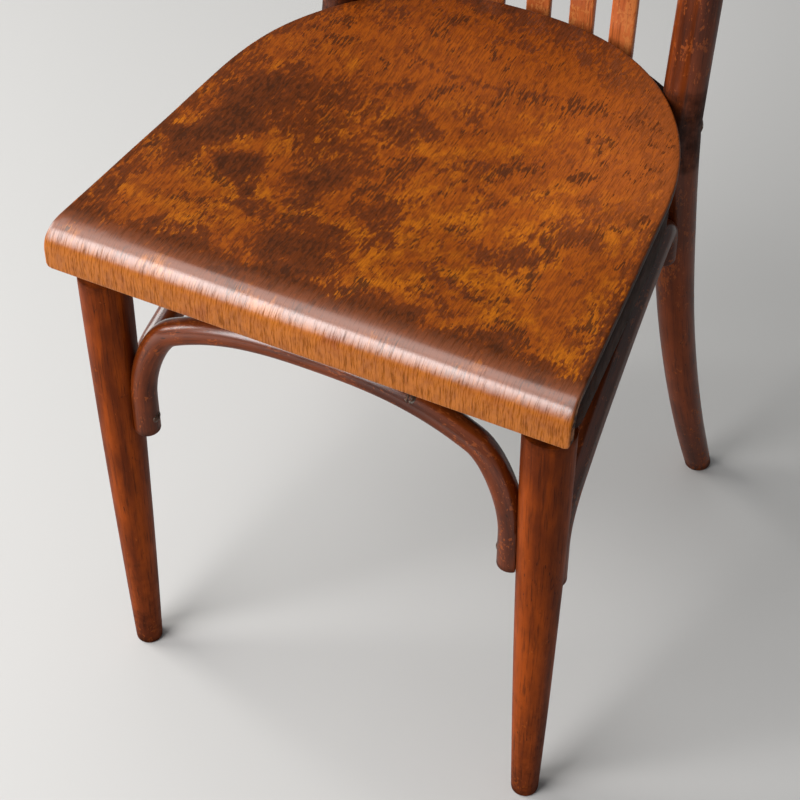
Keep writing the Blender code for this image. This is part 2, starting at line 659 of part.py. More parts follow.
def front_brace_point(path, wanted, axis):
    """The right half's point of the front brace's path where one coordinate has the wanted value."""
    half = path[: len(path) // 2]
    order = np.argsort(half[:, axis])
    return np.array([np.interp(wanted, half[order, axis], half[order, k]) for k in range(3)])


def fit_bolt(word, side, hoop_path, hoop, ring, material, parent):
    """A round-headed bolt through the post and the ring, with its nut inside the ring."""
    post = point_at_height(hoop_path, SEAT_HEIGHT - BOLT_DROP, side)
    line = seat_outline(RING_INSET, SEAT_SHOULDER_Y) * np.array([side, 1.0, 1.0])
    near = line[np.argmin(np.linalg.norm(line[:, :2] - post[:2], axis=1))]
    direction = np.array([near[0] - post[0], near[1] - post[1], 0.0])
    reach = np.linalg.norm(direction)
    direction /= reach
    seat_depth = math.sqrt(POST_RADIUS**2 - BOLT_HEAD_RADIUS**2) - BOLT_HEAD_SINK
    seat = post - direction * seat_depth
    grip = seat_depth + reach + RING_THICKNESS + NUT_STANDOFF
    length = grip + NUT_HEIGHT + BOLT_END
    profile = [(BOLT_RADIUS, -length), (BOLT_RADIUS, 0.0)]
    profile += dome_profile(BOLT_HEAD_RADIUS, BOLT_HEAD_RISE)
    vertices, faces = turned_mesh(profile, SCREW_SIDES)
    bolt = add_piece(f"rear_bolt_{word}", vertices, faces, material, parent)
    bolt.matrix_world = turn_towards(seat - direction * GAP, -direction)
    vertices, faces = turned_mesh([(NUT_RADIUS, 0.0), (NUT_RADIUS, NUT_HEIGHT)], NUT_SIDES)
    nut = add_piece(f"rear_nut_{word}", vertices, faces, material, parent)
    nut.matrix_world = turn_towards(seat + direction * grip, direction)
    outside = seat - direction * CUT_MARGIN
    drill(hoop, outside, direction, BOLT_HEAD_RADIUS + GAP, CUT_MARGIN, parent)
    for piece in (hoop, ring, nut):
        drill(piece, outside, direction, BOLT_RADIUS + GAP, CUT_MARGIN + length + CUT_MARGIN, parent)


def cut_seat_housings(hoop, parent):
    """Cuts the posts back where the panel and the ring rest against them."""
    levels = (("panel", RING_TOP, SEAT_HEIGHT + DISH_DEPTH, -GAP),
              ("ring", RING_UNDERSIDE - GAP, RING_TOP + GAP, RING_INSET - GAP))
    for level, low, high, inset in levels:
        right = seat_outline(inset, SEAT_SHOULDER_Y)
        outline = np.vstack([right, right[-2::-1] * np.array([-1.0, 1.0, 1.0])])
        cut(hoop, prism(f"housing_{level}", outline, low, high, None, parent))


def build_rail_and_slats(hoop, hoop_path, materials, parent):
    """The rail, coped to the posts, and the slats, let into the rail and the top bow."""
    rail = build_back_rail(materials["ring"], parent)
    vertices, faces = rod_mesh(hoop_path, POST_RADIUS + GAP, 2 * HOOP_SIDES)
    cut(rail, add_piece("post_housing", vertices, faces, None, parent))
    for index in range(SLAT_COUNT):
        x = (index - (SLAT_COUNT - 1) / 2) * SLAT_PITCH
        build_slat(f"back_slat_{index + 1}", x, hoop_path, 0.0, materials["hoop"], parent)
        mortise = build_slat(f"mortise_{index + 1}", x, hoop_path, GAP, None, parent)
        cut(rail, mortise)
        cut(hoop, mortise)


def build_leg_and_block(word, side, ring, materials, parent):
    """A front leg whose tenon goes up through the ring and the block in its corner."""
    leg = build_front_leg(f"front_leg_{word}", side, materials["hoop"], parent)
    block = build_corner_block(f"corner_block_{word}", side, materials["ring"], parent)
    start = (side * FRONT_LEG_X, FRONT_LEG_Y, RING_UNDERSIDE - CUT_MARGIN)
    length = CUT_MARGIN + TENON_LENGTH + GAP
    for piece in (ring, block):
        drill(piece, start, (0, 0, 1), TENON_RADIUS + GAP, length, parent, LEG_SIDES)
    return leg


def build_brace(name, path, materials, parent):
    """A round rod along the path."""
    vertices, faces = rod_mesh(path, BRACE_RADIUS, BRACE_SIDES, BRACE_END_CHAMFER)
    return add_piece(name, vertices, faces, materials["hoop"], parent)


def fit_side_brace(word, side, leg, housing, hoop, hoop_path, materials, parent):
    """A side brace, coped to the front leg and screwed to it and to the rear leg."""
    path = side_brace_path(side, hoop_path)
    brace = build_brace(f"side_brace_{word}", path, materials, parent)
    cut(brace, housing)
    low = path[0] + (0, BRACE_RADIUS, SCREW_END_SETBACK)
    fit_screw(f"side_brace_front_screw_{word}", low, (0, -1, 0), SCREW_LENGTH,
              [brace, leg], materials["steel"], parent)
    rear = path[-1] + (0, -BRACE_RADIUS, REAR_SCREW_SETBACK)
    fit_screw(f"side_brace_rear_screw_{word}", rear, (0, 1, 0), SCREW_LENGTH,
              [brace, hoop], materials["steel"], parent)


def fit_arch_screws(arch, path, ring, materials, parent):
    """The front brace's screw up into the ring, and the one that closes a split in it."""
    middle = np.array([0.0, FRONT_LEG_Y, RING_UNDERSIDE - GAP - BRACE_RADIUS])
    upward = np.array(TOP_SCREW_DIRECTION) / np.linalg.norm(TOP_SCREW_DIRECTION)
    fit_screw("front_brace_top_screw", middle - upward * BRACE_RADIUS, upward, SCREW_LENGTH,
              [arch, ring], materials["steel"], parent)
    outward = np.array(REPAIR_SCREW_FACE) / np.linalg.norm(REPAIR_SCREW_FACE)
    split = front_brace_point(path, REPAIR_SCREW_X, 0)
    fit_screw("front_brace_repair_screw", split + outward * BRACE_RADIUS, -outward,
              REPAIR_SCREW_LENGTH, [arch], materials["steel"], parent)


def main():
    """Builds the chair."""
    clear_scene()
    chair = bpy.data.objects.new("chair", None)
    bpy.context.scene.collection.objects.link(chair)
    materials = {
        "veneer": finish("veneer", VENEER, VENEER_ROUGHNESS),
        "ring": finish("ring_wood", WOOD_DARK, WOOD_ROUGHNESS),
        "hoop": finish("hoop_wood", WOOD, WOOD_ROUGHNESS),
        "steel": finish("steel", STEEL, STEEL_ROUGHNESS, STEEL_METALLIC),
    }
    build_seat_panel(materials["veneer"], chair)
    ring = build_seat_ring(materials["ring"], chair)
    hoop, hoop_path = build_hoop(materials["hoop"], chair)
    cut_seat_housings(hoop, chair)
    build_rail_and_slats(hoop, hoop_path, materials, chair)
    arch_path = front_brace_path()
    arch = build_brace("front_brace", arch_path, materials, chair)
    for side, word in ((-1, "left"), (1, "right")):
        leg = build_leg_and_block(word, side, ring, materials, chair)
        housing = leg_housing(side, chair)
        cut(arch, housing)
        end = front_brace_point(arch_path, FRONT_BRACE_FOOT_HEIGHT + SCREW_END_SETBACK, 2)
        inner = (side * (end[0] - BRACE_RADIUS), end[1], end[2])
        fit_screw(f"front_brace_screw_{word}", inner, (side, 0, 0), SCREW_LENGTH,
                  [arch, leg], materials["steel"], chair)
        fit_side_brace(word, side, leg, housing, hoop, hoop_path, materials, chair)
        fit_bolt(word, side, hoop_path, hoop, ring, materials["steel"], chair)
    fit_arch_screws(arch, arch_path, ring, materials, chair)
    rearmost = max(vertex.co.y for vertex in hoop.data.vertices)
    chair.location.y = -0.5 * (SEAT_FRONT_Y + rearmost)


main()
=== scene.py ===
"""Dresses an old bentwood chair whose varnish has worn and flaked from its plywood seat.

Metres, +Z up, the front of the chair faces -Y. Each wooden piece is a surface worked out from
a few sizes, and carries its own straightened coordinates, so that its grain follows its bends.
"""

import functools
import logging
import math
from dataclasses import dataclass, field
from enum import Enum

import bmesh
import bpy
import numpy as np
from mathutils import Matrix, Vector


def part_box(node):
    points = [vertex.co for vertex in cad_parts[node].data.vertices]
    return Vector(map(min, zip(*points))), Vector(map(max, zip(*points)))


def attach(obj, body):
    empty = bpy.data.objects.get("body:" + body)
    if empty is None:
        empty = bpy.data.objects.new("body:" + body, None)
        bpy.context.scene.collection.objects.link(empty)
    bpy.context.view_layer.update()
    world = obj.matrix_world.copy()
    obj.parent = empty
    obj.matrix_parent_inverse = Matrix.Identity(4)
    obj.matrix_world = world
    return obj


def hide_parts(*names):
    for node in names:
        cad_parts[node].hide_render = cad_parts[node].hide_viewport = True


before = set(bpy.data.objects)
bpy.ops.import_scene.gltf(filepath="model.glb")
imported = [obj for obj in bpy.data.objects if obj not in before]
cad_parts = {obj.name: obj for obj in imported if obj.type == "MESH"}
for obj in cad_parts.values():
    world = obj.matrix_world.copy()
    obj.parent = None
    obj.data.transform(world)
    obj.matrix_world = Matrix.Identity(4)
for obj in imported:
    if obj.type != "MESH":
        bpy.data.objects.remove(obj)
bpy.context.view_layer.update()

log = logging.getLogger("chair")

Array = np.ndarray
Colour = tuple[float, float, float]
Socket = bpy.types.NodeSocket

ROOT = "root"
PLACE = "place"
COAT = "coat"
# grime_and_shade: how much a piece is darkened, by settled dirt and by painted shade
GRIME_AND_SHADE = "grime_and_shade"
POLISH = "polish"
UP = (0.0, 0.0, 1.0)
ACROSS = (1.0, 0.0, 0.0)
BACKWARD = (0.0, 1.0, 0.0)

# How finely curves are drawn: steps on a span, on a bend and on a rounded edge, and a path's spacing
CURVE_STEPS = 24
BEND_STEPS = 9
EDGE_STEPS = 5
PATH_STEP = 0.004
WELD_DISTANCE = 1e-6

# Heights that several pieces meet at, and how far the frame's middle lies from the seat's own
GAP = 0.0003
SEAT_HEIGHT = 0.455
RING_TOP = 0.4467
RING_UNDERSIDE = 0.4037
FRAME_SHIFT_Y = -0.01437


class Slot(Enum):
    """Material slots."""

    VENEER = "veneer"
    RING = "ring_wood"
    HOOP = "hoop_wood"
    STEEL = "steel"


class Side(Enum):
    """The chair's two sides, seen from its front."""

    LEFT = -1
    RIGHT = 1

    @property
    def word(self) -> str:
        """The side's name in piece names."""
        return self.name.lower()


# Numbers


def display(red: int, green: int, blue: int) -> Colour:
    """Turns a colour as a screen shows it into the linear colour that a shader takes.

    Args:
        red: Red from 0 to 255.
        green: Green from 0 to 255.
        blue: Blue from 0 to 255.

    Returns:
        The linear colour.
    """
    share = np.array([red, green, blue]) / 255.0
    linear = np.where(share <= 0.04045, share / 12.92, ((share + 0.055) / 1.055) ** 2.4)
    return tuple(float(part) for part in linear)


def ease(value: Array, low: float, high: float) -> Array:
    """Rises smoothly from 0 at low to 1 at high: 3t^2 - 2t^3 of the clipped share t.

    Args:
        value: The values to ease.
        low: Where the rise starts.
        high: Where the rise ends.

    Returns:
        The eased shares.
    """
    t = np.clip((value - low) / (high - low), 0.0, 1.0)
    return t * t * (3.0 - 2.0 * t)


def fall(value: Array, low: float, high: float) -> Array:
    """Falls smoothly from 1 at low to 0 at high."""
    return 1.0 - ease(value, low, high)


def joined(*parts: Array | float) -> Array:
    """Joins numbers into points, each part stretched to the shape of the whole."""
    return np.stack(np.broadcast_arrays(*parts), axis=-1)


def unit(vectors: Array) -> Array:
    """Vectors shortened or drawn out to a length of 1."""
    return vectors / np.linalg.norm(vectors, axis=-1, keepdims=True)


def mirrored(right: Array) -> Array:
    """A right half that ends in the middle, followed by its mirror image."""
    flip = np.where(np.arange(right.shape[1]) == 0, -1.0, 1.0)
    return np.vstack([right, right[-2::-1] * flip])


def soft_least(values: list[Array], blend: float) -> Array:
    """The least of several values, rounded where two of them cross.

    The formula is -blend times the logarithm of the sum of exp(-value / blend).

    Args:
        values: Arrays of one shape.
        blend: How wide the rounding is, in the values' own unit.

    Returns:
        The rounded least value at each place.
    """
    stacked = np.stack(values)
    low = stacked.min(axis=0)
    return low - blend * np.log(np.exp(-(stacked - low) / blend).sum(axis=0))


def run_along(line: Array) -> Array:
    """Length from a line's first point to each of its points."""
    return np.concatenate([[0.0], np.cumsum(np.linalg.norm(np.diff(line, axis=0), axis=1))])


def resample(line: Array, count: int) -> Array:
    """Spaces a line's points evenly along its length.

    Args:
        line: The points, one a row.
        count: How many points come back.

    Returns:
        The evenly spaced points.
    """
    run = run_along(line)
    wanted = np.linspace(0.0, run[-1], count)
    return np.stack([np.interp(wanted, run, line[:, k]) for k in range(line.shape[1])], axis=1)


def smooth_line(stations: Array, step: float) -> Array:
    """Carries a smooth curve through the given points: a Catmull-Rom cubic over each span.

    Args:
        stations: Points that the curve passes through.
        step: Spacing of the points that come back, in metres.

    Returns:
        Evenly spaced points of the curve.
    """
    padded = np.vstack([2 * stations[0] - stations[1], stations, 2 * stations[-1] - stations[-2]])
    a, b, c, d = (padded[k: len(padded) - 3 + k, None, :] for k in range(4))
    t = np.linspace(0.0, 1.0, CURVE_STEPS, endpoint=False)[None, :, None]
    fine = 0.5 * (2 * b + (c - a) * t + (2 * a - 5 * b + 4 * c - d) * t**2 + (3 * b - a - 3 * c + d) * t**3)
    fine = np.vstack([fine.reshape(-1, 3), stations[-1:]])
    return resample(fine, round(run_along(fine)[-1] / step) + 1)


def rounded_corner(before: Array, corner: Array, after: Array, setback: float) -> Array:
    """Points of a bend at a corner: the quadratic curve that starts and ends at one distance from it.

    Args:
        before: A point on the way to the corner.
        corner: The corner.
        after: A point on the way from it.
        setback: How far from the corner the bend starts and ends.

    Returns:
        Points of the bend.
    """
    start, end = corner + setback * unit(before - corner), corner + setback * unit(after - corner)
    t = np.linspace(0.0, 1.0, BEND_STEPS)[:, None]
    return start * (1.0 - t) ** 2 + 2.0 * corner * t * (1.0 - t) + end * t**2


# Meshes


@dataclass
class Shell:
    """One closed surface: points on a grid, with the straightened place of each point.

    Its coat is how much varnish is left, its grime_and_shade how much it is darkened, by settled
    dirt and by painted shade, and its polish how glossy the varnish is. Each is one number or one
    for each point.
    """

    points: Array
    places: Array
    coat: Array | float = 1.0
    grime_and_shade: Array | float = 0.0
    polish: Array | float = 0.6

    def faces(self) -> list[list[int]]:
        """Quads between the grid's rows, closed round its columns, and a lid over each end row.

        Returns:
            The faces as lists of point numbers.
        """
        rows, columns = self.points.shape[:2]
        corner = np.arange(rows * columns).reshape(rows, columns)
        beside = np.roll(corner, -1, axis=1)
        quads = np.stack([corner[:-1], beside[:-1], beside[1:], corner[1:]], axis=-1)
        return [*quads.reshape(-1, 4).tolist(), corner[0][::-1].tolist(), corner[-1].tolist()]

    def spread(self, value: Array | float) -> Array:
        """One value for each point, as a flat array."""
        return np.broadcast_to(np.asarray(value, dtype=float), self.points.shape[:2]).reshape(-1)


@dataclass
class Loop(Shell):
    """A closed surface whose rows close on themselves too, such as a ring."""

    def faces(self) -> list[list[int]]:
        """Quads closed round both ways.

        Returns:
            The faces as lists of point numbers.
        """
        rows, columns = self.points.shape[:2]
        corner = np.arange(rows * columns).reshape(rows, columns)
        beside, above = np.roll(corner, -1, axis=1), np.roll(corner, -1, axis=0)
        quads = np.stack([corner, beside, np.roll(above, -1, axis=1), above], axis=-1)
        return quads.reshape(-1, 4).tolist()


def make_piece(name: str, shells: list[Shell], sharp_degrees: float = 40.0) -> bpy.types.Object:
    """Makes one object of closed surfaces, moved into the frame, with its faces turned outwards.

    Args:
        name: The object's name.
        shells: The surfaces, measured from the seat's own middle.
        sharp_degrees: Edges that turn more than this stay sharp.

    Returns:
        The object, at the origin.
    """
    faces: list[list[int]] = []
    start = 0
    for shell in shells:
        faces += [[start + corner for corner in face] for face in shell.faces()]
        start += shell.points.shape[0] * shell.points.shape[1]
    mesh = bpy.data.meshes.new(name)
    points = np.vstack([shell.points.reshape(-1, 3) for shell in shells]) + (0.0, FRAME_SHIFT_Y, 0.0)
    mesh.from_pydata(points, [], faces)
    places = np.vstack([shell.places.reshape(-1, 3) for shell in shells]).astype(np.float32)
    mesh.attributes.new(PLACE, "FLOAT_VECTOR", "POINT").data.foreach_set("vector", places.ravel())
    for label in (COAT, GRIME_AND_SHADE, POLISH):
        values = np.concatenate([shell.spread(getattr(shell, label)) for shell in shells])
        mesh.attributes.new(label, "FLOAT", "POINT").data.foreach_set("value", values.astype(np.float32))
    work = bmesh.new()
    work.from_mesh(mesh)
    bmesh.ops.remove_doubles(work, verts=work.verts, dist=WELD_DISTANCE)
    bmesh.ops.recalc_face_normals(work, faces=work.faces)
    work.to_mesh(mesh)
    work.free()
    mesh.shade_smooth()
    mesh.set_sharp_from_angle(angle=math.radians(sharp_degrees))
    return add_object(name, mesh)


def add_object(name: str, data: bpy.types.ID) -> bpy.types.Object:
    """Puts a mesh, a lamp or a camera into the scene.

    Args:
        name: The object's name.
        data: What it shows.

    Returns:
        The object, at the origin.
    """
    made = bpy.data.objects.new(name, data)
    bpy.context.scene.collection.objects.link(made)
    return made


def place_piece(piece: bpy.types.Object, slot: Slot, finish: "Finish", *nodes: str) -> None:
    """Gives a piece its finish and its body, and hides the nodes that it stands for.

    Args:
        piece: The piece.
        slot: Not used.
        finish: The finish.
        nodes: The nodes of the frame that it replaces.
    """
    piece.data.materials.append(finish.material())
    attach(piece, ROOT)
    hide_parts(*nodes)
    log.info("%s: %d faces", piece.name, len(piece.data.polygons))


@dataclass
class Rod:
    """A round rod carried along a path, with rounded ends, a little uneven as bent wood is.

    The surface is path(s) + r(s) * (cos(t) * across + sin(t) * up), where across is the unit
    cross product of the path's direction with a fixed direction that it never lies along.
    The grain's start sets which stretch of grain the rod shows, so that no two rods match.
    """

    path: Array
    radii: Array
    fixed: tuple[float, float, float]
    grain_start: float
    sides: int = 36
    first_round: float = 0.0018
    last_round: float = 0.0018
    wobble: float = 0.006

    def directions(self) -> tuple[Array, Array, Array]:
        """Directions at each point of the path.

        Returns:
            Unit vectors along the path, across it and up from it.
        """
        along = unit(np.gradient(self.path, axis=0))
        across = unit(np.cross(along, np.array(self.fixed)))
        return along, across, np.cross(along, across)

    def shell(self) -> Shell:
        """The surface. Each end is a quarter circle: e - e cos(q) along, and r - e + e sin(q) out.

        Returns:
            The surface, its straightened place being (r cos t, r sin t, s).
        """
        along, across, up = self.directions()
        lean = np.linspace(0.0, math.pi / 2, EDGE_STEPS)
        inset, loss = 1.0 - np.cos(lean), 1.0 - np.sin(lean)
        inner = np.arange(1, len(self.path) - 1)
        pick = np.concatenate([np.zeros(EDGE_STEPS, int), inner, np.full(EDGE_STEPS, len(self.path) - 1)])
        shift = np.concatenate([self.first_round * inset, 0.0 * inner, -self.last_round * inset[::-1]])
        radii = self.radii[pick] - np.concatenate(
            [self.first_round * loss, 0.0 * inner, self.last_round * loss[::-1]])
        run = run_along(self.path)[pick] + shift
        turn = np.linspace(0.0, 2 * math.pi, self.sides, endpoint=False)
        uneven = np.sin(2 * turn + 19.0 * run[:, None]) + 0.6 * np.sin(3 * turn - 31.0 * run[:, None])
        radii = radii[:, None] * (1.0 + self.wobble * uneven)
        cosine, sine = radii * np.cos(turn), radii * np.sin(turn)
        middle = self.path[pick] + along[pick] * shift[:, None]
        points = middle[:, None] + cosine[..., None] * across[pick, None] + sine[..., None] * up[pick, None]
        facing_up = np.cos(turn) * across[pick, 2, None] + np.sin(turn) * up[pick, 2, None]
        return Shell(points, joined(cosine, sine, run[:, None] + self.grain_start),
                     polish=ease(facing_up, -0.20, 0.80))


def rounded_strip(width: float, height: float, edge: float, steps: int = 4) -> Array:
    """Outline of a rectangular strip with rounded corners, turned anticlockwise.

    Each corner is a quarter circle of the edge's radius about a point inside it.

    Args:
        width: The strip's size along the first direction.
        height: Its size along the second.
        edge: The corners' radius.
        steps: Points on each corner.

    Returns:
        The outline's points, two numbers each, about its middle.
    """
    quarter = np.linspace(0.0, math.pi / 2, steps)
    corners = [(1, 1), (-1, 1), (-1, -1), (1, -1)]
    arcs = []
    for turn, (right, top) in enumerate(corners):
        angle = quarter + turn * math.pi / 2
        centre = np.array([right * (width / 2 - edge), top * (height / 2 - edge)])
        arcs.append(centre + edge * np.stack([np.cos(angle), np.sin(angle)], axis=1))
    return np.vstack(arcs)


def keep_outside(points: Array, centre: Array, radius: Array | float) -> Array:
    """Moves points that lie inside an upright round post straight out to its surface.

    A point p at a distance d from the post's axis goes to centre + (p - centre) * max(1, r / d).

    Args:
        points: The points.
        centre: The axis at each point's height, as x and y.
        radius: The post's radius at each point's height.

    Returns:
        The moved points.
    """
    offset = points[..., :2] - centre
    far = np.maximum(np.linalg.norm(offset, axis=-1), 1e-6)
    moved = points.copy()
    moved[..., :2] = centre + offset * np.maximum(1.0, radius / far)[..., None]
    return moved


# Shader building


class Wiring:
    """Adds shader nodes to one tree and joins them."""

    def __init__(self, tree: bpy.types.NodeTree) -> None:
        """Starts with the tree that the nodes go into."""
        self.tree = tree

    def node(self, kind: str, inputs: dict[str | int, object] | None = None,
             **settings: object) -> bpy.types.Node:
        """Adds one node.

        Args:
            kind: The node's type.
            inputs: What goes into its sockets: a socket is joined, and a value is set.
            settings: Its properties.

        Returns:
            The node.
        """
        made = self.tree.nodes.new(kind)
        for label, value in settings.items():
            setattr(made, label, value)
        for label, value in (inputs or {}).items():
            self.feed(made.inputs[label], value)
        return made

    def feed(self, socket: Socket, value: object) -> None:
        """Joins a socket to another, or sets its value.

        Args:
            socket: The socket that takes the value.
            value: A socket, a number, or the parts of a vector or a colour.
        """
        if isinstance(value, bpy.types.NodeSocket):
            self.tree.links.new(value, socket)
        elif socket.type == "RGBA":
            socket.default_value = (*value[:3], 1.0)
        else:
            socket.default_value = value

    def put(self, label: str, value: object) -> None:
        """Feeds one of the sockets of the material's shader."""
        self.feed(self.tree.nodes["Principled BSDF"].inputs[label], value)

    def math(self, operation: str, first: object, second: object = 0.0, clamp: bool = False) -> Socket:
        """A number worked out from one or two others."""
        made = self.node("ShaderNodeMath", {0: first, 1: second}, operation=operation, use_clamp=clamp)
        return made.outputs[0]

    def times(self, *factors: object) -> Socket:
        """The product of two or more numbers."""
        return functools.reduce(lambda first, second: self.math("MULTIPLY", first, second), factors)

    def plus(self, *terms: object, clamp: bool = False) -> Socket:
        """The sum of two numbers, which may be held between 0 and 1."""
        return self.math("ADD", *terms, clamp=clamp)

    def less(self, first: object, second: object, clamp: bool = False) -> Socket:
        """The first number less the second, which may be held between 0 and 1."""
        return self.math("SUBTRACT", first, second, clamp)

    def centred(self, value: object, weight: object) -> Socket:
        """How far a number lies from a half, times a weight."""
        return self.times(self.less(value, 0.5), weight)

    def blend(self, share: object, first: object, second: object) -> Socket:
        """A colour between two others.

        Args:
            share: How far it lies towards the second.
            first: The colour at 0.
            second: The colour at 1.

        Returns:
            The colour.
        """
        made = self.node("ShaderNodeMix", data_type="RGBA")
        for label, value in (("Factor_Float", share), ("A_Color", first), ("B_Color", second)):
            self.feed(next(item for item in made.inputs if item.identifier == label), value)
        return next(item for item in made.outputs if item.identifier == "Result_Color")

    def between(self, share: object, first: float, second: float) -> Socket:
        """A number that goes from the first to the second as the share goes from 0 to 1."""
        made = self.node("ShaderNodeMapRange", {"Value": share, "To Min": first, "To Max": second})
        return made.outputs["Result"]

    def band(self, value: object, low: object, high: object) -> Socket:
        """A share that rises smoothly from 0 at the low value to 1 at the high one."""
        made = self.node("ShaderNodeMapRange", {"Value": value, "From Min": low, "From Max": high},
                         interpolation_type="SMOOTHSTEP")
        return made.outputs["Result"]

    def stretch(self, place: object, factors: tuple[float, float, float]) -> Socket:
        """A place with each of its parts multiplied."""
        return self.node("ShaderNodeVectorMath", {0: place, 1: factors}, operation="MULTIPLY").outputs[0]

    def noise(self, place: object, scale: object, detail: float, rough: float) -> Socket:
        """Cloudy noise from 0 to 1, with its middle at a half."""
        made = self.node("ShaderNodeTexNoise",
                         {"Vector": place, "Scale": scale, "Detail": detail, "Roughness": rough})
        return made.outputs[0]

    def value(self, name: str, output: str = "Fac") -> Socket:
        """One of the piece's own values."""
        made = self.node("ShaderNodeAttribute", attribute_name=name, attribute_type="GEOMETRY")
        return made.outputs[output]

    def place(self) -> Socket:
        """The piece's own straightened place."""
        return self.value(PLACE, "Vector")

    def parts(self, place: object) -> list[Socket]:
        """The three parts of a place."""
        return list(self.node("ShaderNodeSeparateXYZ", {0: place}).outputs)

    def point(self, first: object, second: object, third: object) -> Socket:
        """A place of three parts."""
        return self.node("ShaderNodeCombineXYZ", {0: first, 1: second, 2: third}).outputs[0]

    def effect(self, effect: "Effect", **inputs: object) -> bpy.types.bpy_prop_collection:
        """Places one of the shared effects.

        Args:
            effect: The effect.
            inputs: What goes into its sockets.

        Returns:
            The sockets that it puts out.
        """
        made = self.node("ShaderNodeGroup", node_tree=Effects.get(effect))
        for label, value in inputs.items():
            self.feed(made.inputs[label], value)
        return made.outputs


class Effect(Enum):
    """Effects that more than one finish uses."""

    FIBRE = "wood_fibre"
    RAGGED = "ragged_coat"
    FLECK = "dark_fleck"
    GRIME_AND_SHADE = "settled_grime_and_shade"


class Effects:
    """Builds each shared effect once, as a group of shader nodes."""

    made: dict[Effect, bpy.types.NodeTree] = {}

    @classmethod
    def get(cls, effect: Effect) -> bpy.types.NodeTree:
        """The effect's group, which is built when it is first asked for.

        Args:
            effect: The effect.

        Returns:
            Its group.
        """
        if effect not in cls.made:
            builder = {Effect.FIBRE: cls.fibre, Effect.RAGGED: cls.ragged,
                       Effect.FLECK: cls.fleck, Effect.GRIME_AND_SHADE: cls.grime_and_shade}[effect]
            cls.made[effect] = builder()
        return cls.made[effect]

    @staticmethod
    def start(effect: Effect, inputs: dict[str, float], outputs: list[str]) -> tuple[Wiring, Socket, dict]:
        """Makes an empty group that takes a place and named numbers.

        Args:
            effect: The effect that the group is for.
            inputs: The named numbers, with what they are when nothing is given.
            outputs: The names of what it puts out, all of them numbers.

        Returns:
            Its wiring, its input node's sockets by name, and its output node's sockets by name.
        """
        tree = bpy.data.node_groups.new(effect.value, "ShaderNodeTree")
        tree.interface.new_socket("Place", in_out="INPUT", socket_type="NodeSocketVector")
        for label, value in inputs.items():
            socket = tree.interface.new_socket(label, in_out="INPUT", socket_type="NodeSocketFloat")
            socket.default_value = value
        for label in outputs:
            tree.interface.new_socket(label, in_out="OUTPUT", socket_type="NodeSocketFloat")
        wiring = Wiring(tree)
        given = wiring.node("NodeGroupInput")
        put_out = wiring.node("NodeGroupOutput")
        return wiring, given.outputs, put_out.inputs

    @staticmethod
    def drawn_out(wiring: Wiring, given: dict) -> Socket:
        """The group's Place with its third part divided by the group's Length.

        Args:
            wiring: The group's wiring.
            given: Its input sockets by name.

        Returns:
            The drawn-out place.
        """
        across, up, along = wiring.parts(given["Place"])
        return wiring.point(across, up, wiring.math("DIVIDE", along, given["Length"]))

    @classmethod
    def fibre(cls) -> bpy.types.NodeTree:
        """Lengthwise fibres: noise drawn out along the third part of the place, fine and broad.

        Returns:
            The group. Its Fibre and Broad have their middle at a half.
        """
        wiring, given, out = cls.start(Effect.FIBRE, {"Scale": 700.0, "Length": 18.0}, ["Fibre", "Broad"])
        drawn = cls.drawn_out(wiring, given)
        fine = wiring.noise(drawn, given["Scale"], 2.0, 0.6)
        finer = wiring.noise(drawn, wiring.times(given["Scale"], 2.7), 2.0, 0.6)
        wiring.feed(out["Fibre"], wiring.plus(wiring.times(fine, 0.55), wiring.times(finer, 0.45)))
        wiring.feed(out["Broad"], wiring.noise(drawn, wiring.times(given["Scale"], 0.14), 3.0, 0.5))
        return wiring.tree

    @classmethod
    def ragged(cls) -> bpy.types.NodeTree:
        """Where a worn coat is left: its cover, broken up by clouds and combed along the grain.

        Returns:
            The group. Left is 1 on the coat, and Level is how thick it is, with its edge at a half.
        """
        wiring, given, out = cls.start(
            Effect.RAGGED, {"Cover": 0.5, "Scale": 60.0, "Cloud": 1.0, "Comb": 1.0, "Edge": 0.05},
            ["Left", "Level"])
        place, scale, edge = given["Place"], given["Scale"], given["Edge"]
        drawn = wiring.stretch(place, (1.0, 1.0, 0.62))
        level = given["Cover"]
        for size, weight in ((0.5, 1.0), (1.7, 1.25), (6.0, 1.35)):
            cloud = wiring.noise(drawn, wiring.times(scale, size), 3.0, 0.65)
            level = wiring.plus(level, wiring.centred(cloud, wiring.times(given["Cloud"], weight)))
        combed = wiring.noise(wiring.stretch(place, (1.0, 1.0, 0.10)), wiring.times(scale, 11.0), 3.0, 0.6)
        flakes = wiring.node("ShaderNodeTexVoronoi", {
            "Vector": wiring.stretch(place, (1.0, 1.0, 0.36)), "Scale": wiring.times(scale, 15.0),
            "Randomness": 0.85})
        flake = wiring.parts(flakes.outputs["Color"])[0]
        rough = wiring.plus(wiring.times(combed, 0.60), wiring.times(flake, 0.40))
        level = wiring.plus(level, wiring.centred(rough, given["Comb"]))
        wiring.feed(out["Left"], wiring.band(level, wiring.less(0.5, edge), wiring.plus(0.5, edge)))
        wiring.feed(out["Level"], level)
        return wiring.tree

    @classmethod
    def fleck(cls) -> bpy.types.NodeTree:
        """Short dark checks along the grain: the peaks of drawn-out noise, thicker in some places.

        Returns:
            The group. Mark is 1 on a check.
        """
        wiring, given, out = cls.start(Effect.FLECK, {"Scale": 420.0, "Length": 7.0, "Amount": 0.5}, ["Mark"])
        peaks = wiring.noise(cls.drawn_out(wiring, given), given["Scale"], 1.0, 0.5)
        thick = wiring.band(wiring.noise(given["Place"], 30.0, 4.0, 0.65), 0.40, 0.68)
        bar = wiring.less(0.82, wiring.times(given["Amount"], thick))
        wiring.feed(out["Mark"], wiring.band(peaks, bar, wiring.plus(bar, 0.10)))
        return wiring.tree

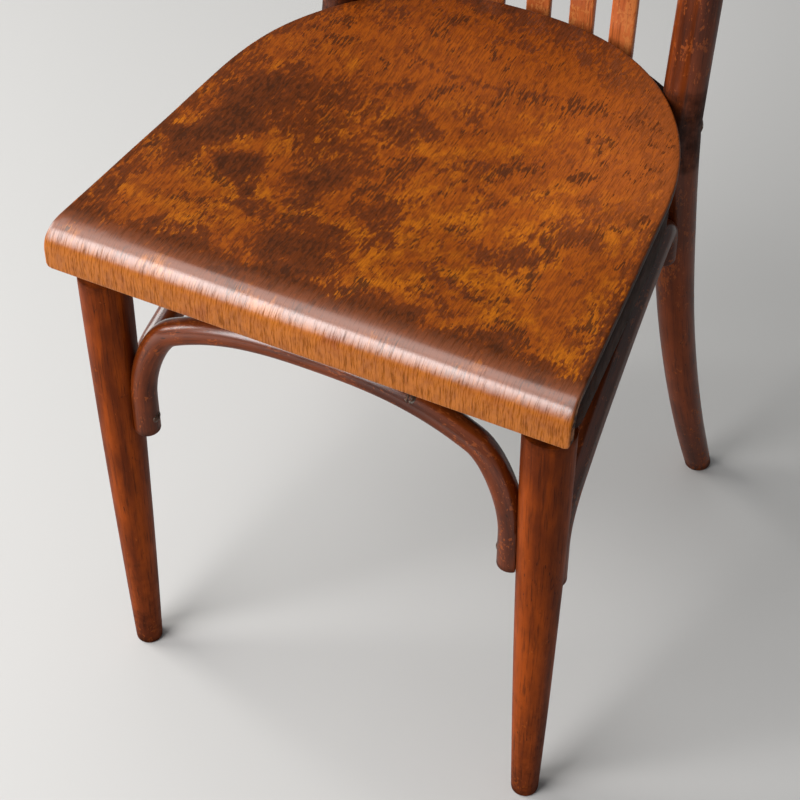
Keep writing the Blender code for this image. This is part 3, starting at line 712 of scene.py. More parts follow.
    @classmethod
    def grime_and_shade(cls) -> bpy.types.NodeTree:
        """Darkens by the amount, broken up by clouds: settled dirt where pieces meet, and painted shade.

        Returns:
            The group. Dirt is from 0 to 1.
        """
        wiring, given, out = cls.start(Effect.GRIME_AND_SHADE, {"Amount": 0.0, "Scale": 90.0}, ["Dirt"])
        cloud = wiring.noise(given["Place"], given["Scale"], 5.0, 0.65)
        dirt = wiring.band(wiring.plus(given["Amount"], wiring.centred(cloud, 0.9)), 0.25, 1.0)
        wiring.feed(out["Dirt"], wiring.times(dirt, wiring.band(given["Amount"], 0.0, 0.1)))
        return wiring.tree


# Finishes


@dataclass(frozen=True)
class Finish:
    """What every finish has: a name, and nodes that feed its material's shader."""

    name: str

    def material(self) -> bpy.types.Material:
        """The finish's material, which is built when it is first asked for.

        Returns:
            The material.
        """
        known = bpy.data.materials.get(self.name)
        if known:
            return known
        made = bpy.data.materials.new(self.name)
        made.use_nodes = True
        self.dress(Wiring(made.node_tree))
        return made

    def dress(self, wiring: Wiring) -> None:
        """Feeds the shader."""
        raise NotImplementedError

    @staticmethod
    def set_varnish(wiring: Wiring, specular: float, roughness: float, ior: float) -> None:
        """Sets the parts of the shader's gloss that are the same all over.

        Args:
            wiring: The material's wiring.
            specular: How much the wood under the varnish reflects.
            roughness: How soft the varnish's reflections are.
            ior: How strong they are.
        """
        wiring.put("Specular IOR Level", specular)
        wiring.put("Coat Roughness", roughness)
        wiring.put("Coat IOR", ior)

    @staticmethod
    def relief(wiring: Wiring, height: Socket, depth: float) -> None:
        """Feeds the shader's normal from a height.

        Args:
            wiring: The material's wiring.
            height: The height, from 0 to 1.
            depth: How deep that is, in metres.
        """
        bump = wiring.node("ShaderNodeBump", {"Height": height, "Distance": depth, "Strength": 1.0})
        wiring.put("Normal", bump.outputs["Normal"])


@dataclass(frozen=True)
class VeneerFinish(Finish):
    """Honey-coloured veneer under a red-brown varnish that is worn through in patches."""

    honey: Colour = display(184, 102, 10)
    orange: Colour = display(150, 73, 8)
    russet: Colour = display(118, 53, 10)
    varnish: Colour = display(99, 46, 13)
    deep: Colour = display(70, 33, 10)
    check: Colour = display(54, 27, 12)
    edge: Colour = display(44, 28, 20)
    edge_pale: Colour = display(186, 122, 78)
    # Paler tone of the painted sheen on the seat's right
    sheen_tone: Colour = display(196, 104, 44)
    grain_scale: float = 760.0
    patch_scale: float = 40.0
    check_scale: float = 640.0
    darkening_scale: float = 70.0
    roll: tuple[float, float] = (-0.164, -0.184)
    lip: tuple[float, float] = (-0.188, -0.201)
    thickness: float = 0.008
    plies: int = 5
    relief_depth: float = 0.00026

    def bare_wood(self, wiring: Wiring, grain: Socket, along: Socket, lip: Socket) -> Socket:
        """The veneer's colour: honey to orange by clouds, darker to the rear, with russet blotches.

        Args:
            wiring: The material's wiring.
            grain: The place with its third part along the grain.
            along: The place along the sheet.
            lip: A share that is 1 on the lip.

        Returns:
            The colour.
        """
        rear = wiring.band(along, -0.02, 0.12)
        tone = wiring.plus(wiring.noise(grain, 24.0, 6.0, 0.62), wiring.times(rear, 0.15))
        tone = wiring.less(tone, wiring.times(lip, 0.16))
        bare = wiring.blend(wiring.band(tone, 0.36, 0.58), self.honey, self.orange)
        blotch = wiring.noise(wiring.stretch(grain, (1.0, 1.0, 0.5)), 150.0, 5.0, 0.65)
        blotched = wiring.times(wiring.band(blotch, 0.44, 0.62), wiring.between(lip, 0.72, 0.30))
        return wiring.blend(blotched, bare, self.russet)

    def varnished(self, wiring: Wiring, level: Socket, roll: Socket) -> Socket:
        """The varnished wood's colour, darker where the varnish is thicker and rubbed on the roll.

        Args:
            wiring: The material's wiring.
            level: How thick the varnish is.
            roll: A share that is 1 on the roll.

        Returns:
            The colour.
        """
        coat = wiring.blend(wiring.band(level, 0.50, 0.85), self.russet, self.varnish)
        coat = wiring.blend(wiring.band(level, 0.95, 1.60), coat, self.deep)
        return wiring.blend(wiring.times(roll, 0.65), coat, self.orange)

    def ply_edge(self, wiring: Wiring, grain: Socket, along: Socket, depth: Socket) -> Socket:
        """The sheet's cut edge: its layers in turn, rubbed pale near the front.

        Args:
            wiring: The material's wiring.
            grain: The place with its third part along the grain.
            along: The place along the sheet.
            depth: The share of the thickness below the face.

        Returns:
            The colour.
        """
        layer = wiring.math("SINE", wiring.times(depth, self.plies * math.pi))
        end = wiring.blend(wiring.band(layer, -0.3, 0.5), self.edge, self.deep)
        rubbed = wiring.band(wiring.noise(grain, 150.0, 4.0, 0.6), 0.46, 0.60)
        rubbed = wiring.times(rubbed, wiring.band(along, -0.165, -0.185), 0.75)
        return wiring.blend(rubbed, end, self.edge_pale)

    def dress(self, wiring: Wiring) -> None:
        """Layers bare wood, varnish, a painted sheen, checks, darkening and the sheet's own layers.

        The varnish's level is its cover plus noise of four sizes, and its colour follows the level.

        Args:
            wiring: The material's wiring.
        """
        across, along, up = wiring.parts(wiring.place())
        grain = wiring.point(across, up, along)
        fibre = wiring.effect(Effect.FIBRE, Place=grain, Scale=self.grain_scale, Length=14.0)["Fibre"]
        ragged = wiring.effect(Effect.RAGGED, Place=grain, Cover=wiring.value(COAT), Scale=self.patch_scale,
                               Cloud=1.05, Comb=1.75, Edge=0.24)
        lip, roll = wiring.band(along, *self.lip), wiring.band(along, *self.roll)
        left = wiring.times(ragged["Left"], wiring.between(lip, 1.0, 0.22))
        face = wiring.blend(left, self.bare_wood(wiring, grain, along, lip),
                            self.varnished(wiring, ragged["Level"], roll))
        # Painted sheen: a paler patch on the right rear of the seat's top stands in for its reflection.
        sheen_patch = wiring.times(wiring.band(across, 0.040, 0.170), wiring.band(along, -0.08, 0.04), 0.42)
        face = wiring.blend(sheen_patch, face, self.sheen_tone)
        streak = wiring.times(wiring.band(fibre, 0.46, 0.64), wiring.between(left, 0.62, 0.42))
        face = wiring.blend(streak, face, self.deep)
        fleck = wiring.effect(Effect.FLECK, Place=grain, Scale=self.check_scale, Length=6.5, Amount=0.45)
        mark = wiring.times(fleck["Mark"], wiring.between(left, 0.78, 0.40), wiring.between(lip, 1.0, 0.20))
        face = wiring.blend(mark, face, self.check)
        dirt = wiring.effect(Effect.GRIME_AND_SHADE, Place=grain, Amount=wiring.value(GRIME_AND_SHADE), Scale=self.darkening_scale)
        face = wiring.blend(wiring.times(dirt["Dirt"], 0.8), face, self.check)
        depth = wiring.times(up, -1.0 / self.thickness)
        on_edge = wiring.band(depth, 0.10, 0.22)
        wiring.put("Base Color", wiring.blend(on_edge, face, self.ply_edge(wiring, grain, along, depth)))

        rough = wiring.plus(wiring.between(left, 0.50, 0.36), wiring.centred(fibre, 0.40))
        wiring.put("Roughness", wiring.plus(rough, wiring.times(on_edge, 0.25), clamp=True))
        gloss = wiring.plus(wiring.between(left, 0.04, 0.12), roll)
        gloss = wiring.times(gloss, wiring.between(lip, 1.0, 0.22))
        gloss = wiring.less(gloss, wiring.times(streak, 0.75), clamp=True)
        gloss = wiring.times(gloss, wiring.less(1.0, wiring.band(depth, 0.02, 0.12)))
        wiring.put("Coat Weight", gloss)
        self.set_varnish(wiring, 0.16, 0.29, 2.10)
        height = wiring.plus(wiring.times(fibre, 0.45), wiring.times(left, 0.30))
        self.relief(wiring, wiring.less(height, wiring.times(mark, 0.35)), self.relief_depth)


@dataclass(frozen=True)
class BentwoodFinish(Finish):
    """Red-brown varnish on bent or turned wood, glossy, mottled and rubbed thin."""

    amber: Colour = display(128, 55, 11)
    brown: Colour = display(72, 28, 7)
    deep: Colour = display(40, 16, 6)
    rubbed: Colour = display(172, 86, 30)
    dirt: Colour = display(24, 13, 8)
    rough: float = 0.38
    gloss: float = 0.10
    coat: float = 0.85
    grain_scale: float = 520.0
    patch_scale: float = 70.0
    fleck_scale: float = 700.0
    darkening_scale: float = 120.0
    relief_depth: float = 0.00022

    def dress(self, wiring: Wiring) -> None:
        """Layers stained wood, its grain, rubbed places, specks, and darkening by settled dirt and painted
        shade.

        Args:
            wiring: The material's wiring.
        """
        place = wiring.place()
        fibre = wiring.effect(Effect.FIBRE, Place=place, Scale=self.grain_scale, Length=22.0)
        clouds = wiring.noise(wiring.stretch(place, (1.0, 1.0, 0.35)), 48.0, 5.0, 0.6)
        tone = wiring.plus(wiring.times(clouds, 0.45), wiring.times(fibre["Broad"], 0.55))
        wood = wiring.blend(wiring.band(tone, 0.34, 0.64), self.amber, self.brown)
        wood = wiring.blend(wiring.times(wiring.band(fibre["Fibre"], 0.48, 0.68), 0.60), wood, self.deep)
        left = wiring.effect(Effect.RAGGED, Place=place, Cover=wiring.value(COAT), Scale=self.patch_scale,
                             Cloud=1.5, Comb=0.9, Edge=0.10)["Left"]
        worn = wiring.times(wiring.less(1.0, left), 0.50)
        wood = wiring.blend(worn, wood, self.rubbed)
        fleck = wiring.effect(Effect.FLECK, Place=place, Scale=self.fleck_scale, Length=5.0, Amount=0.20)
        mark = fleck["Mark"]
        wood = wiring.blend(wiring.times(mark, 0.75), wood, self.deep)
        # Darkening by the grime_and_shade value: settled dirt, and painted shade where pieces meet or lie
        # under the seat.
        grime_and_shade = wiring.effect(Effect.GRIME_AND_SHADE, Place=place, Amount=wiring.value(GRIME_AND_SHADE), Scale=self.darkening_scale)
        dirt = grime_and_shade["Dirt"]
        wiring.put("Base Color", wiring.blend(wiring.times(dirt, 0.85), wood, self.dirt))

        rough = wiring.plus(wiring.plus(self.rough, wiring.times(worn, 0.30)), wiring.times(dirt, 0.30))
        wiring.put("Roughness", wiring.plus(rough, wiring.centred(clouds, 0.25), clamp=True))
        wiring.put("Coat Weight", wiring.times(wiring.value(POLISH), self.coat, wiring.less(1.0, dirt)))
        self.set_varnish(wiring, self.gloss, 0.24, 2.00)
        height = wiring.plus(wiring.times(fibre["Fibre"], 0.45), wiring.times(left, 0.30))
        self.relief(wiring, wiring.less(height, wiring.times(mark, 0.25)), self.relief_depth)


@dataclass(frozen=True)
class SteelFinish(Finish):
    """Old steel, browned and dull, with brighter rubbed places."""

    brown: Colour = display(74, 58, 48)
    rust: Colour = display(112, 62, 36)
    bright: Colour = display(168, 160, 150)
    relief_depth: float = 0.00012

    def dress(self, wiring: Wiring) -> None:
        """Layers browned steel, rust and rubbed places.

        Args:
            wiring: The material's wiring.
        """
        place = wiring.place()
        blotch = wiring.noise(place, 900.0, 4.0, 0.6)
        rubbed = wiring.band(wiring.noise(place, 420.0, 3.0, 0.5), 0.54, 0.66)
        steel = wiring.blend(wiring.band(blotch, 0.45, 0.62), self.brown, self.rust)
        steel = wiring.blend(wiring.times(rubbed, 0.8), steel, self.bright)
        wiring.put("Base Color", steel)
        wiring.put("Metallic", wiring.between(rubbed, 0.55, 1.0))
        wiring.put("Roughness", wiring.between(rubbed, 0.60, 0.36))
        self.relief(wiring, blotch, self.relief_depth)


@dataclass(frozen=True)
class BlockFinish(Finish):
    """Rough unvarnished hardwood, brown with age and dirt."""

    pale: Colour = display(128, 84, 50)
    brown: Colour = display(84, 50, 30)
    dirt: Colour = display(44, 29, 20)
    relief_depth: float = 0.0003

    def dress(self, wiring: Wiring) -> None:
        """Layers bare wood, its grain across the chair, and dirt.

        Args:
            wiring: The material's wiring.
        """
        across, along, up = wiring.parts(wiring.node("ShaderNodeTexCoord").outputs["Object"])
        grain = wiring.point(along, up, across)
        fibre = wiring.effect(Effect.FIBRE, Place=grain, Scale=480.0, Length=14.0)
        dirt = wiring.effect(Effect.GRIME_AND_SHADE, Place=grain, Amount=0.55, Scale=80.0)["Dirt"]
        wood = wiring.blend(wiring.band(fibre["Broad"], 0.35, 0.65), self.pale, self.brown)
        wood = wiring.blend(wiring.band(fibre["Fibre"], 0.50, 0.75), wood, self.dirt)
        wiring.put("Base Color", wiring.blend(dirt, wood, self.dirt))
        wiring.put("Roughness", wiring.between(dirt, 0.68, 0.88))
        self.relief(wiring, fibre["Fibre"], self.relief_depth)


@dataclass(frozen=True)
class FloorFinish(Finish):
    """Plain pale matt paint."""

    pale: Colour = display(206, 206, 204)
    rough: float = 0.85

    def dress(self, wiring: Wiring) -> None:
        """Sets the shader's own colour and roughness."""
        wiring.put("Base Color", self.pale)
        wiring.put("Roughness", self.rough)


VENEER = VeneerFinish("worn_veneer")
BENTWOOD = BentwoodFinish("bentwood_varnish")
LEG_WOOD = BentwoodFinish(
    "leg_varnish", amber=display(156, 68, 9), brown=display(92, 36, 7), deep=display(42, 16, 5),
    rough=0.46, gloss=0.04, coat=0.12)
# Painted light: a paler copy of the bentwood varnish for the slats, which face the light.
LIT_SLAT_WOOD = BentwoodFinish(
    "slat_varnish_painted_light", amber=display(222, 122, 64), brown=display(178, 88, 42), deep=display(92, 42, 16),
    rubbed=display(222, 140, 74), coat=0.60)
# Painted shade: a darker, duller copy of the bentwood varnish for the ring and the rail, which lie in the
# seat's shade.
SHADED_RING_WOOD = BentwoodFinish(
    "ring_varnish_painted_shade", amber=display(62, 32, 20), brown=display(38, 21, 15), deep=display(22, 14, 11),
    rubbed=display(96, 50, 28), rough=0.66, gloss=0.07, coat=0.0)
STEEL = SteelFinish("browned_steel")
BLOCK_WOOD = BlockFinish("rough_block")
FLOOR_PAINT = FloorFinish("pale_floor")


# Seat


@dataclass(frozen=True)
class Patch:
    """A place where the seat's varnish is left: an ellipse with a soft edge."""

    x: float
    y: float
    half_x: float
    half_y: float
    amount: float = 1.0
    turn: float = 0.0

    def field(self, x: Array, y: Array) -> Array:
        """How much varnish the patch leaves: its amount inside, down to nothing 1.5 radii out.

        Args:
            x: Places across the seat.
            y: Places along the sheet.

        Returns:
            The shares.
        """
        cosine, sine = math.cos(math.radians(self.turn)), math.sin(math.radians(self.turn))
        along = (cosine * (x - self.x) + sine * (y - self.y)) / self.half_x
        beside = (cosine * (y - self.y) - sine * (x - self.x)) / self.half_y
        return self.amount * (1.0 - ease(np.hypot(along, beside), 0.45, 1.5))


@dataclass
class SeatShape:
    """The seat's outline, which the panel and the ring share."""

    front_y: float = -0.1976
    rear_y: float = 0.1780
    front_half_width: float = 0.1940
    taper: float = 0.0914
    shoulder_y: float = 0.0070
    roundness: float = 2.3
    side_steps: int = 200
    rear_steps: int = 400
    corner_steps: int = 12

    def half_width(self, y: Array) -> Array:
        """Half the width: front half width less taper * run, times (1 - r^p)^(1/p) past the shoulder.

        Args:
            y: Places from front to rear.

        Returns:
            Half the width at each place.
        """
        straight = self.front_half_width - self.taper * (y - self.front_y)
        run = np.clip((y - self.shoulder_y) / (self.rear_y - self.shoulder_y), 0.0, 1.0)
        return straight * (1.0 - run**self.roundness) ** (1.0 / self.roundness)

    def loop(self, front: float, corner: float, count: int) -> tuple[Array, Array]:
        """The closed outline with its front edge at a given place, and the way out from it.

        Args:
            front: Where the front edge lies.
            corner: The radius of the two front corners.
            count: How many points go round, an even number.

        Returns:
            The outline's points and unit vectors outwards, each of two numbers.
        """
        turn = np.linspace(0.0, math.pi / 2, self.rear_steps)
        y = np.concatenate([np.linspace(front + corner, self.shoulder_y, self.side_steps)[:-1],
                            self.shoulder_y + (self.rear_y - self.shoulder_y) * np.sin(turn)])
        side = np.stack([self.half_width(np.maximum(y, self.front_y)), y], axis=1)
        side[-1, 0] = 0.0
        bend = np.linspace(-math.pi / 2, 0.0, self.corner_steps, endpoint=False)
        centre = side[0] - (corner, 0.0)
        arc = centre + corner * np.stack([np.cos(bend), np.sin(bend)], axis=1)
        right = resample(np.vstack([[[0.0, front]], arc, side]), count // 2 + 1)
        points = mirrored(right)[:-1]
        way = unit(np.roll(points, -1, axis=0) - np.roll(points, 1, axis=0))
        return points, np.stack([way[:, 1], -way[:, 0]], axis=1)


@dataclass
class SeatPanel:
    """One sheet of plywood, dished, with its front edge rolled over into a lip."""

    shape: SeatShape
    thickness: float = 0.008
    lip_depth: float = 0.033
    lip_radius: float = 0.018
    dish_depth: float = 0.011
    dish_reach: float = 0.105
    dish_rim: float = 0.026
    ring_setback: float = 0.016
    edge_round: float = 0.0016
    corner: float = 0.004
    side_blend: float = 0.020
    front_blend: float = 0.012
    waviness: float = 0.00025
    around: int = 440
    rings: int = 76
    rings_below: int = 24
    patches: tuple[Patch, ...] = (
        Patch(0.000, -0.176, 0.300, 0.018, 1.20),
        Patch(-0.028, -0.142, 0.040, 0.024, 1.05),
        Patch(0.060, -0.160, 0.070, 0.006, 0.80),
        Patch(-0.110, -0.158, 0.050, 0.009, 0.90),
        Patch(0.125, -0.158, 0.045, 0.006, 0.90),
        Patch(0.085, -0.140, 0.030, 0.006, 0.70),
        Patch(0.060, -0.118, 0.040, 0.007, 0.66),
        Patch(-0.030, -0.114, 0.034, 0.012, 0.95),
        Patch(0.006, -0.075, 0.018, 0.034, 0.90),
        Patch(-0.055, -0.060, 0.020, 0.044, 1.00),
        Patch(-0.105, -0.078, 0.018, 0.022, 1.30),
        Patch(-0.085, -0.105, 0.022, 0.012, 0.85),
        Patch(-0.142, -0.035, 0.022, 0.062, 1.25, -14.0),
        Patch(-0.125, 0.010, 0.036, 0.030, 0.95, -20.0),
        Patch(-0.085, -0.015, 0.040, 0.034, 0.80, -20.0),
        Patch(-0.030, 0.018, 0.026, 0.024, 0.98),
        Patch(-0.050, -0.020, 0.030, 0.010, 0.75),
        Patch(-0.056, 0.054, 0.022, 0.012, 0.74),
        Patch(-0.080, 0.030, 0.030, 0.020, 0.70),
        Patch(0.098, -0.076, 0.032, 0.015, 0.84),
        Patch(0.126, -0.045, 0.026, 0.016, 0.84),
        Patch(0.134, -0.018, 0.012, 0.016, 0.74),
        Patch(0.036, -0.001, 0.020, 0.009, 0.64),
        Patch(0.048, -0.023, 0.016, 0.007, 0.64),
        Patch(0.010, 0.060, 0.014, 0.016, 0.58),
        Patch(0.160, 0.020, 0.012, 0.060, 0.72, 6.0),
        Patch(0.128, 0.088, 0.026, 0.022, 0.86, -35.0),
        Patch(0.110, 0.122, 0.050, 0.018, 0.84, -42.0),
        Patch(0.060, 0.150, 0.055, 0.018, 0.80, -20.0),
        Patch(0.010, 0.138, 0.028, 0.007, 0.66),
        Patch(-0.010, 0.164, 0.060, 0.012, 0.80),
        Patch(0.112, 0.059, 0.010, 0.007, 0.66),
        Patch(-0.176, -0.140, 0.014, 0.050, 0.90),
        Patch(-0.165, 0.020, 0.012, 0.070, 0.70, -5.0),
        Patch(-0.100, 0.120, 0.040, 0.012, 0.66, 32.0),
    )
    bare_share: float = 0.18
    border_share: float = 0.85
    border_width: float = 0.016
    crease_share: float = 0.56
    crease_y: float = 0.0855
    crease_rise: float = 2.1
    crease_width: float = 0.0040

    def bend(self, x: Array, along: Array, depth: Array) -> Array:
        """Bends the flat sheet: level, then a quarter circle down over the front, then straight down.

        With a as the angle round the roll, y = start - R sin(a) and z = height - R + R cos(a).
        The depth goes in from the face along (0, sin(a), -cos(a)), and the dish lowers the whole.

        Args:
            x: Places across the sheet.
            along: Places along it, from the lip's hem to the rear.
            depth: How far below the face.

        Returns:
            The points.
        """
        start = self.shape.front_y + self.lip_radius
        angle = np.clip((start - along) / self.lip_radius, 0.0, math.pi / 2)
        hang = np.maximum(start - along - self.lip_radius * math.pi / 2, 0.0)
        y = start + np.maximum(along - start, 0.0) - self.lip_radius * np.sin(angle) + depth * np.sin(angle)
        z = SEAT_HEIGHT - self.lip_radius * (1.0 - np.cos(angle)) - hang - depth * np.cos(angle)
        return np.stack([x, y, z - self.dish(x, along)], axis=-1)

    def edge_distance(self, x: Array, along: Array) -> Array:
        """Distance from each place to the outline's two sides, rounded where they are the same.

        The few points of the outline that lie on the front edge are left out.

        Args:
            x: Places across the sheet.
            along: Places along it.

        Returns:
            The distances.
        """
        count, skipped = 240, 8
        outline, _ = self.shape.loop(self.shape.front_y, self.corner, count)
        sides = []
        for half in (outline[skipped: count // 2 + 1], outline[count // 2: count - skipped + 1]):
            offset = joined(x, along)[..., None, :] - half
            sides.append(np.linalg.norm(offset, axis=-1).min(axis=-1))
        return soft_least(sides, self.side_blend)

    def dish(self, x: Array, along: Array) -> Array:
        """How far the panel is dished: its depth times the eased distance in from its rim.

        Args:
            x: Places across the sheet.
            along: Places along it.

        Returns:
            The drop at each place.
        """
        to_front = along - self.shape.front_y - self.ring_setback
        inside = soft_least([self.edge_distance(x, along), to_front], self.front_blend)
        return self.dish_depth * ease(inside, self.dish_rim, self.dish_rim + self.dish_reach)

    def coat(self, x: Array, along: Array) -> Array:
        """How much varnish is left: the largest of the border's, the crease's and each patch's share.

        The patches are looked up at places shifted by a few sines, so that their outlines wander.

        Args:
            x: Places across the sheet.
            along: Places along it.

        Returns:
            Shares from about 0.2 where the wood is bare to 1.
        """
        border = self.border_share * fall(self.edge_distance(x, along), 0.002, self.border_width)
        line = along - self.crease_y - self.crease_rise * x**2
        crease = self.crease_share * np.exp(-(line / self.crease_width) ** 2) * fall(np.abs(x), 0.05, 0.10)
        shares = [np.full_like(x, self.bare_share), border, crease]
        bent_x = x + 0.007 * np.sin(95.0 * along + 2.0) + 0.004 * np.sin(210.0 * along + 60.0 * x)
        bent_y = along + 0.006 * np.sin(80.0 * x + 1.0) + 0.004 * np.sin(190.0 * x - 70.0 * along)
        shares += [patch.field(bent_x, bent_y) for patch in self.patches]
        return np.max(np.stack(shares), axis=0)

    def shell(self) -> Shell:
        """The closed sheet: rings from the middle out over the face, round the edge, and back below.

        Returns:
            The surface, its straightened place being (across, along, -depth).
        """
        start = self.shape.front_y + self.lip_radius
        hem = start - self.lip_radius * math.pi / 2 - (self.lip_depth - self.lip_radius)
        outline, out = self.shape.loop(hem, self.corner, self.around)
        inner = outline - self.edge_round * out
        share = np.linspace(0.002, 1.0, self.rings)[:, None, None]
        share_below = np.linspace(1.0, 0.002, self.rings_below)[1:, None, None]
        lean = np.linspace(0.0, math.pi / 2, EDGE_STEPS)[1:]
        sine, cosine = np.sin(lean), np.cos(lean)
        over, under = (inner + out * self.edge_round * part[:, None, None] for part in (sine, cosine))
        flat = np.concatenate([inner * share, over, over[-1:], under, inner * share_below])
        depth = np.concatenate([
            np.zeros(self.rings), self.edge_round * (1.0 - cosine), [self.thickness / 2],
            self.thickness - self.edge_round * (1.0 - sine), np.full(self.rings_below - 1, self.thickness)])
        depth = np.broadcast_to(depth[:, None], flat.shape[:2])
        x, along = flat[..., 0], flat[..., 1]
        points = self.bend(x, along, depth)
        wave = np.sin(31.0 * x + 0.7) * np.sin(27.0 * along) + 0.5 * np.sin(74.0 * along + 22.0 * x)
        points[..., 2] += self.waviness * wave * (along > start)
        # Darker on the sheet's underside and along its outline.
        below = ease(depth, 0.5 * self.thickness, self.thickness)
        grime_and_shade = np.maximum(0.75 * below, 0.45 * fall(self.edge_distance(x, along), 0.0, 0.006))
        return Shell(points, joined(x, along, -depth), self.coat(x, along), grime_and_shade)

    def build(self) -> None:
        """Builds the panel."""
        piece = make_piece("seat_sheet", [self.shell()], sharp_degrees=50.0)
        place_piece(piece, Slot.VENEER, VENEER, "seat_panel")


@dataclass
class SeatRing:
    """A strip bent on edge into a closed hoop under the panel, with a block in each front corner."""

    shape: SeatShape
    inset: float = 0.004
    thickness: float = 0.020
    front_setback: float = 0.016
    corner: float = 0.028
    edge: float = 0.0022
    around: int = 300

    def shell(self) -> Loop:
        """The strip's rounded section carried round the outline: p = outline - out * a, at height z.

        Returns:
            The surface, its straightened place being (a, z, run).
        """
        front = self.shape.front_y + self.front_setback - self.inset
        outline, out = self.shape.loop(front, self.corner + self.inset, self.around)
        section = rounded_strip(self.thickness, RING_TOP - RING_UNDERSIDE, self.edge)
        inward = self.inset + self.thickness / 2 + section[:, 0]
        height = (RING_TOP + RING_UNDERSIDE) / 2 + section[:, 1]
        flat = outline[:, None, :] - out[:, None, :] * inward[None, :, None]
        # An even darkening, and painted shade growing towards the top under the panel.
        grime_and_shade = 0.35 + 0.4 * ease(height, RING_TOP - 0.012, RING_TOP)
        return Loop(joined(flat[..., 0], flat[..., 1], height),
                    joined(inward, height, run_along(outline)[:, None]), 0.85, grime_and_shade)

    def build(self) -> None:
        """Builds the ring, and finishes the corner blocks, whose plain shape is right."""
        piece = make_piece("seat_hoop", [self.shell()])
        place_piece(piece, Slot.RING, SHADED_RING_WOOD, "seat_ring")
        for side in Side:
            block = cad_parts[f"corner_block_{side.word}"]
            block.data.materials.clear()
            block.data.materials.append(BLOCK_WOOD.material())
            log.info("%s: kept", block.name)


# Legs, back and braces


@dataclass
class FrontLegs:
    """Two turned, tapered legs."""

    x: float = 0.169
    y: float = -0.1675
    top_radius: float = 0.0185
    foot_radius: float = 0.0105
    swell: float = 1.6
    foot_round: float = 0.0020
    top_round: float = 0.0004
    wobble: float = 0.003
    rows: int = 110

    def radius(self, height: Array) -> Array:
        """Radius at a height: top - (top - foot) * (1 - h / top height)^swell.

        Args:
            height: Heights above the floor.

        Returns:
            The radii.
        """
        share = 1.0 - np.clip(height / RING_UNDERSIDE, 0.0, 1.0)
        return self.top_radius - (self.top_radius - self.foot_radius) * share**self.swell

    def clear_of(self, points: Array, side: Side) -> Array:
        """Points of a rod that is coped to fit against a leg.

        Args:
            points: The rod's points.
            side: The leg's side.

        Returns:
            The points, those inside the leg moved out to it.
        """
        centre = np.array([side.value * self.x, self.y])
        return keep_outside(points, centre, self.radius(points[..., 2]) + GAP)

    def build(self) -> None:
        """Builds both legs, each a rod on an upright path."""
        heights = np.linspace(0.0, RING_UNDERSIDE - GAP, self.rows)
        for side in Side:
            shell = Rod(joined(side.value * self.x, self.y, heights), self.radius(heights), BACKWARD,
                        2.0 + side.value, 48, self.foot_round, self.top_round, self.wobble).shell()
            height = shell.points[..., 2]
            shell.coat = 1.20 - 0.40 * fall(height, 0.0, 0.06)
            # Darker at the very foot; the wider darkening over the lowest 0.30 m and the band just under the
            # ring are painted shade.
            foot_dirt_and_shade = np.maximum(0.75 * fall(height, 0.0, 0.022), 0.45 * fall(height, 0.0, 0.30))
            shell.grime_and_shade = np.maximum(foot_dirt_and_shade, 0.6 * ease(height, 0.385, 0.404))
            piece = make_piece(f"turned_leg_{side.word}", [shell])
            place_piece(piece, Slot.HOOP, LEG_WOOD, f"front_leg_{side.word}")


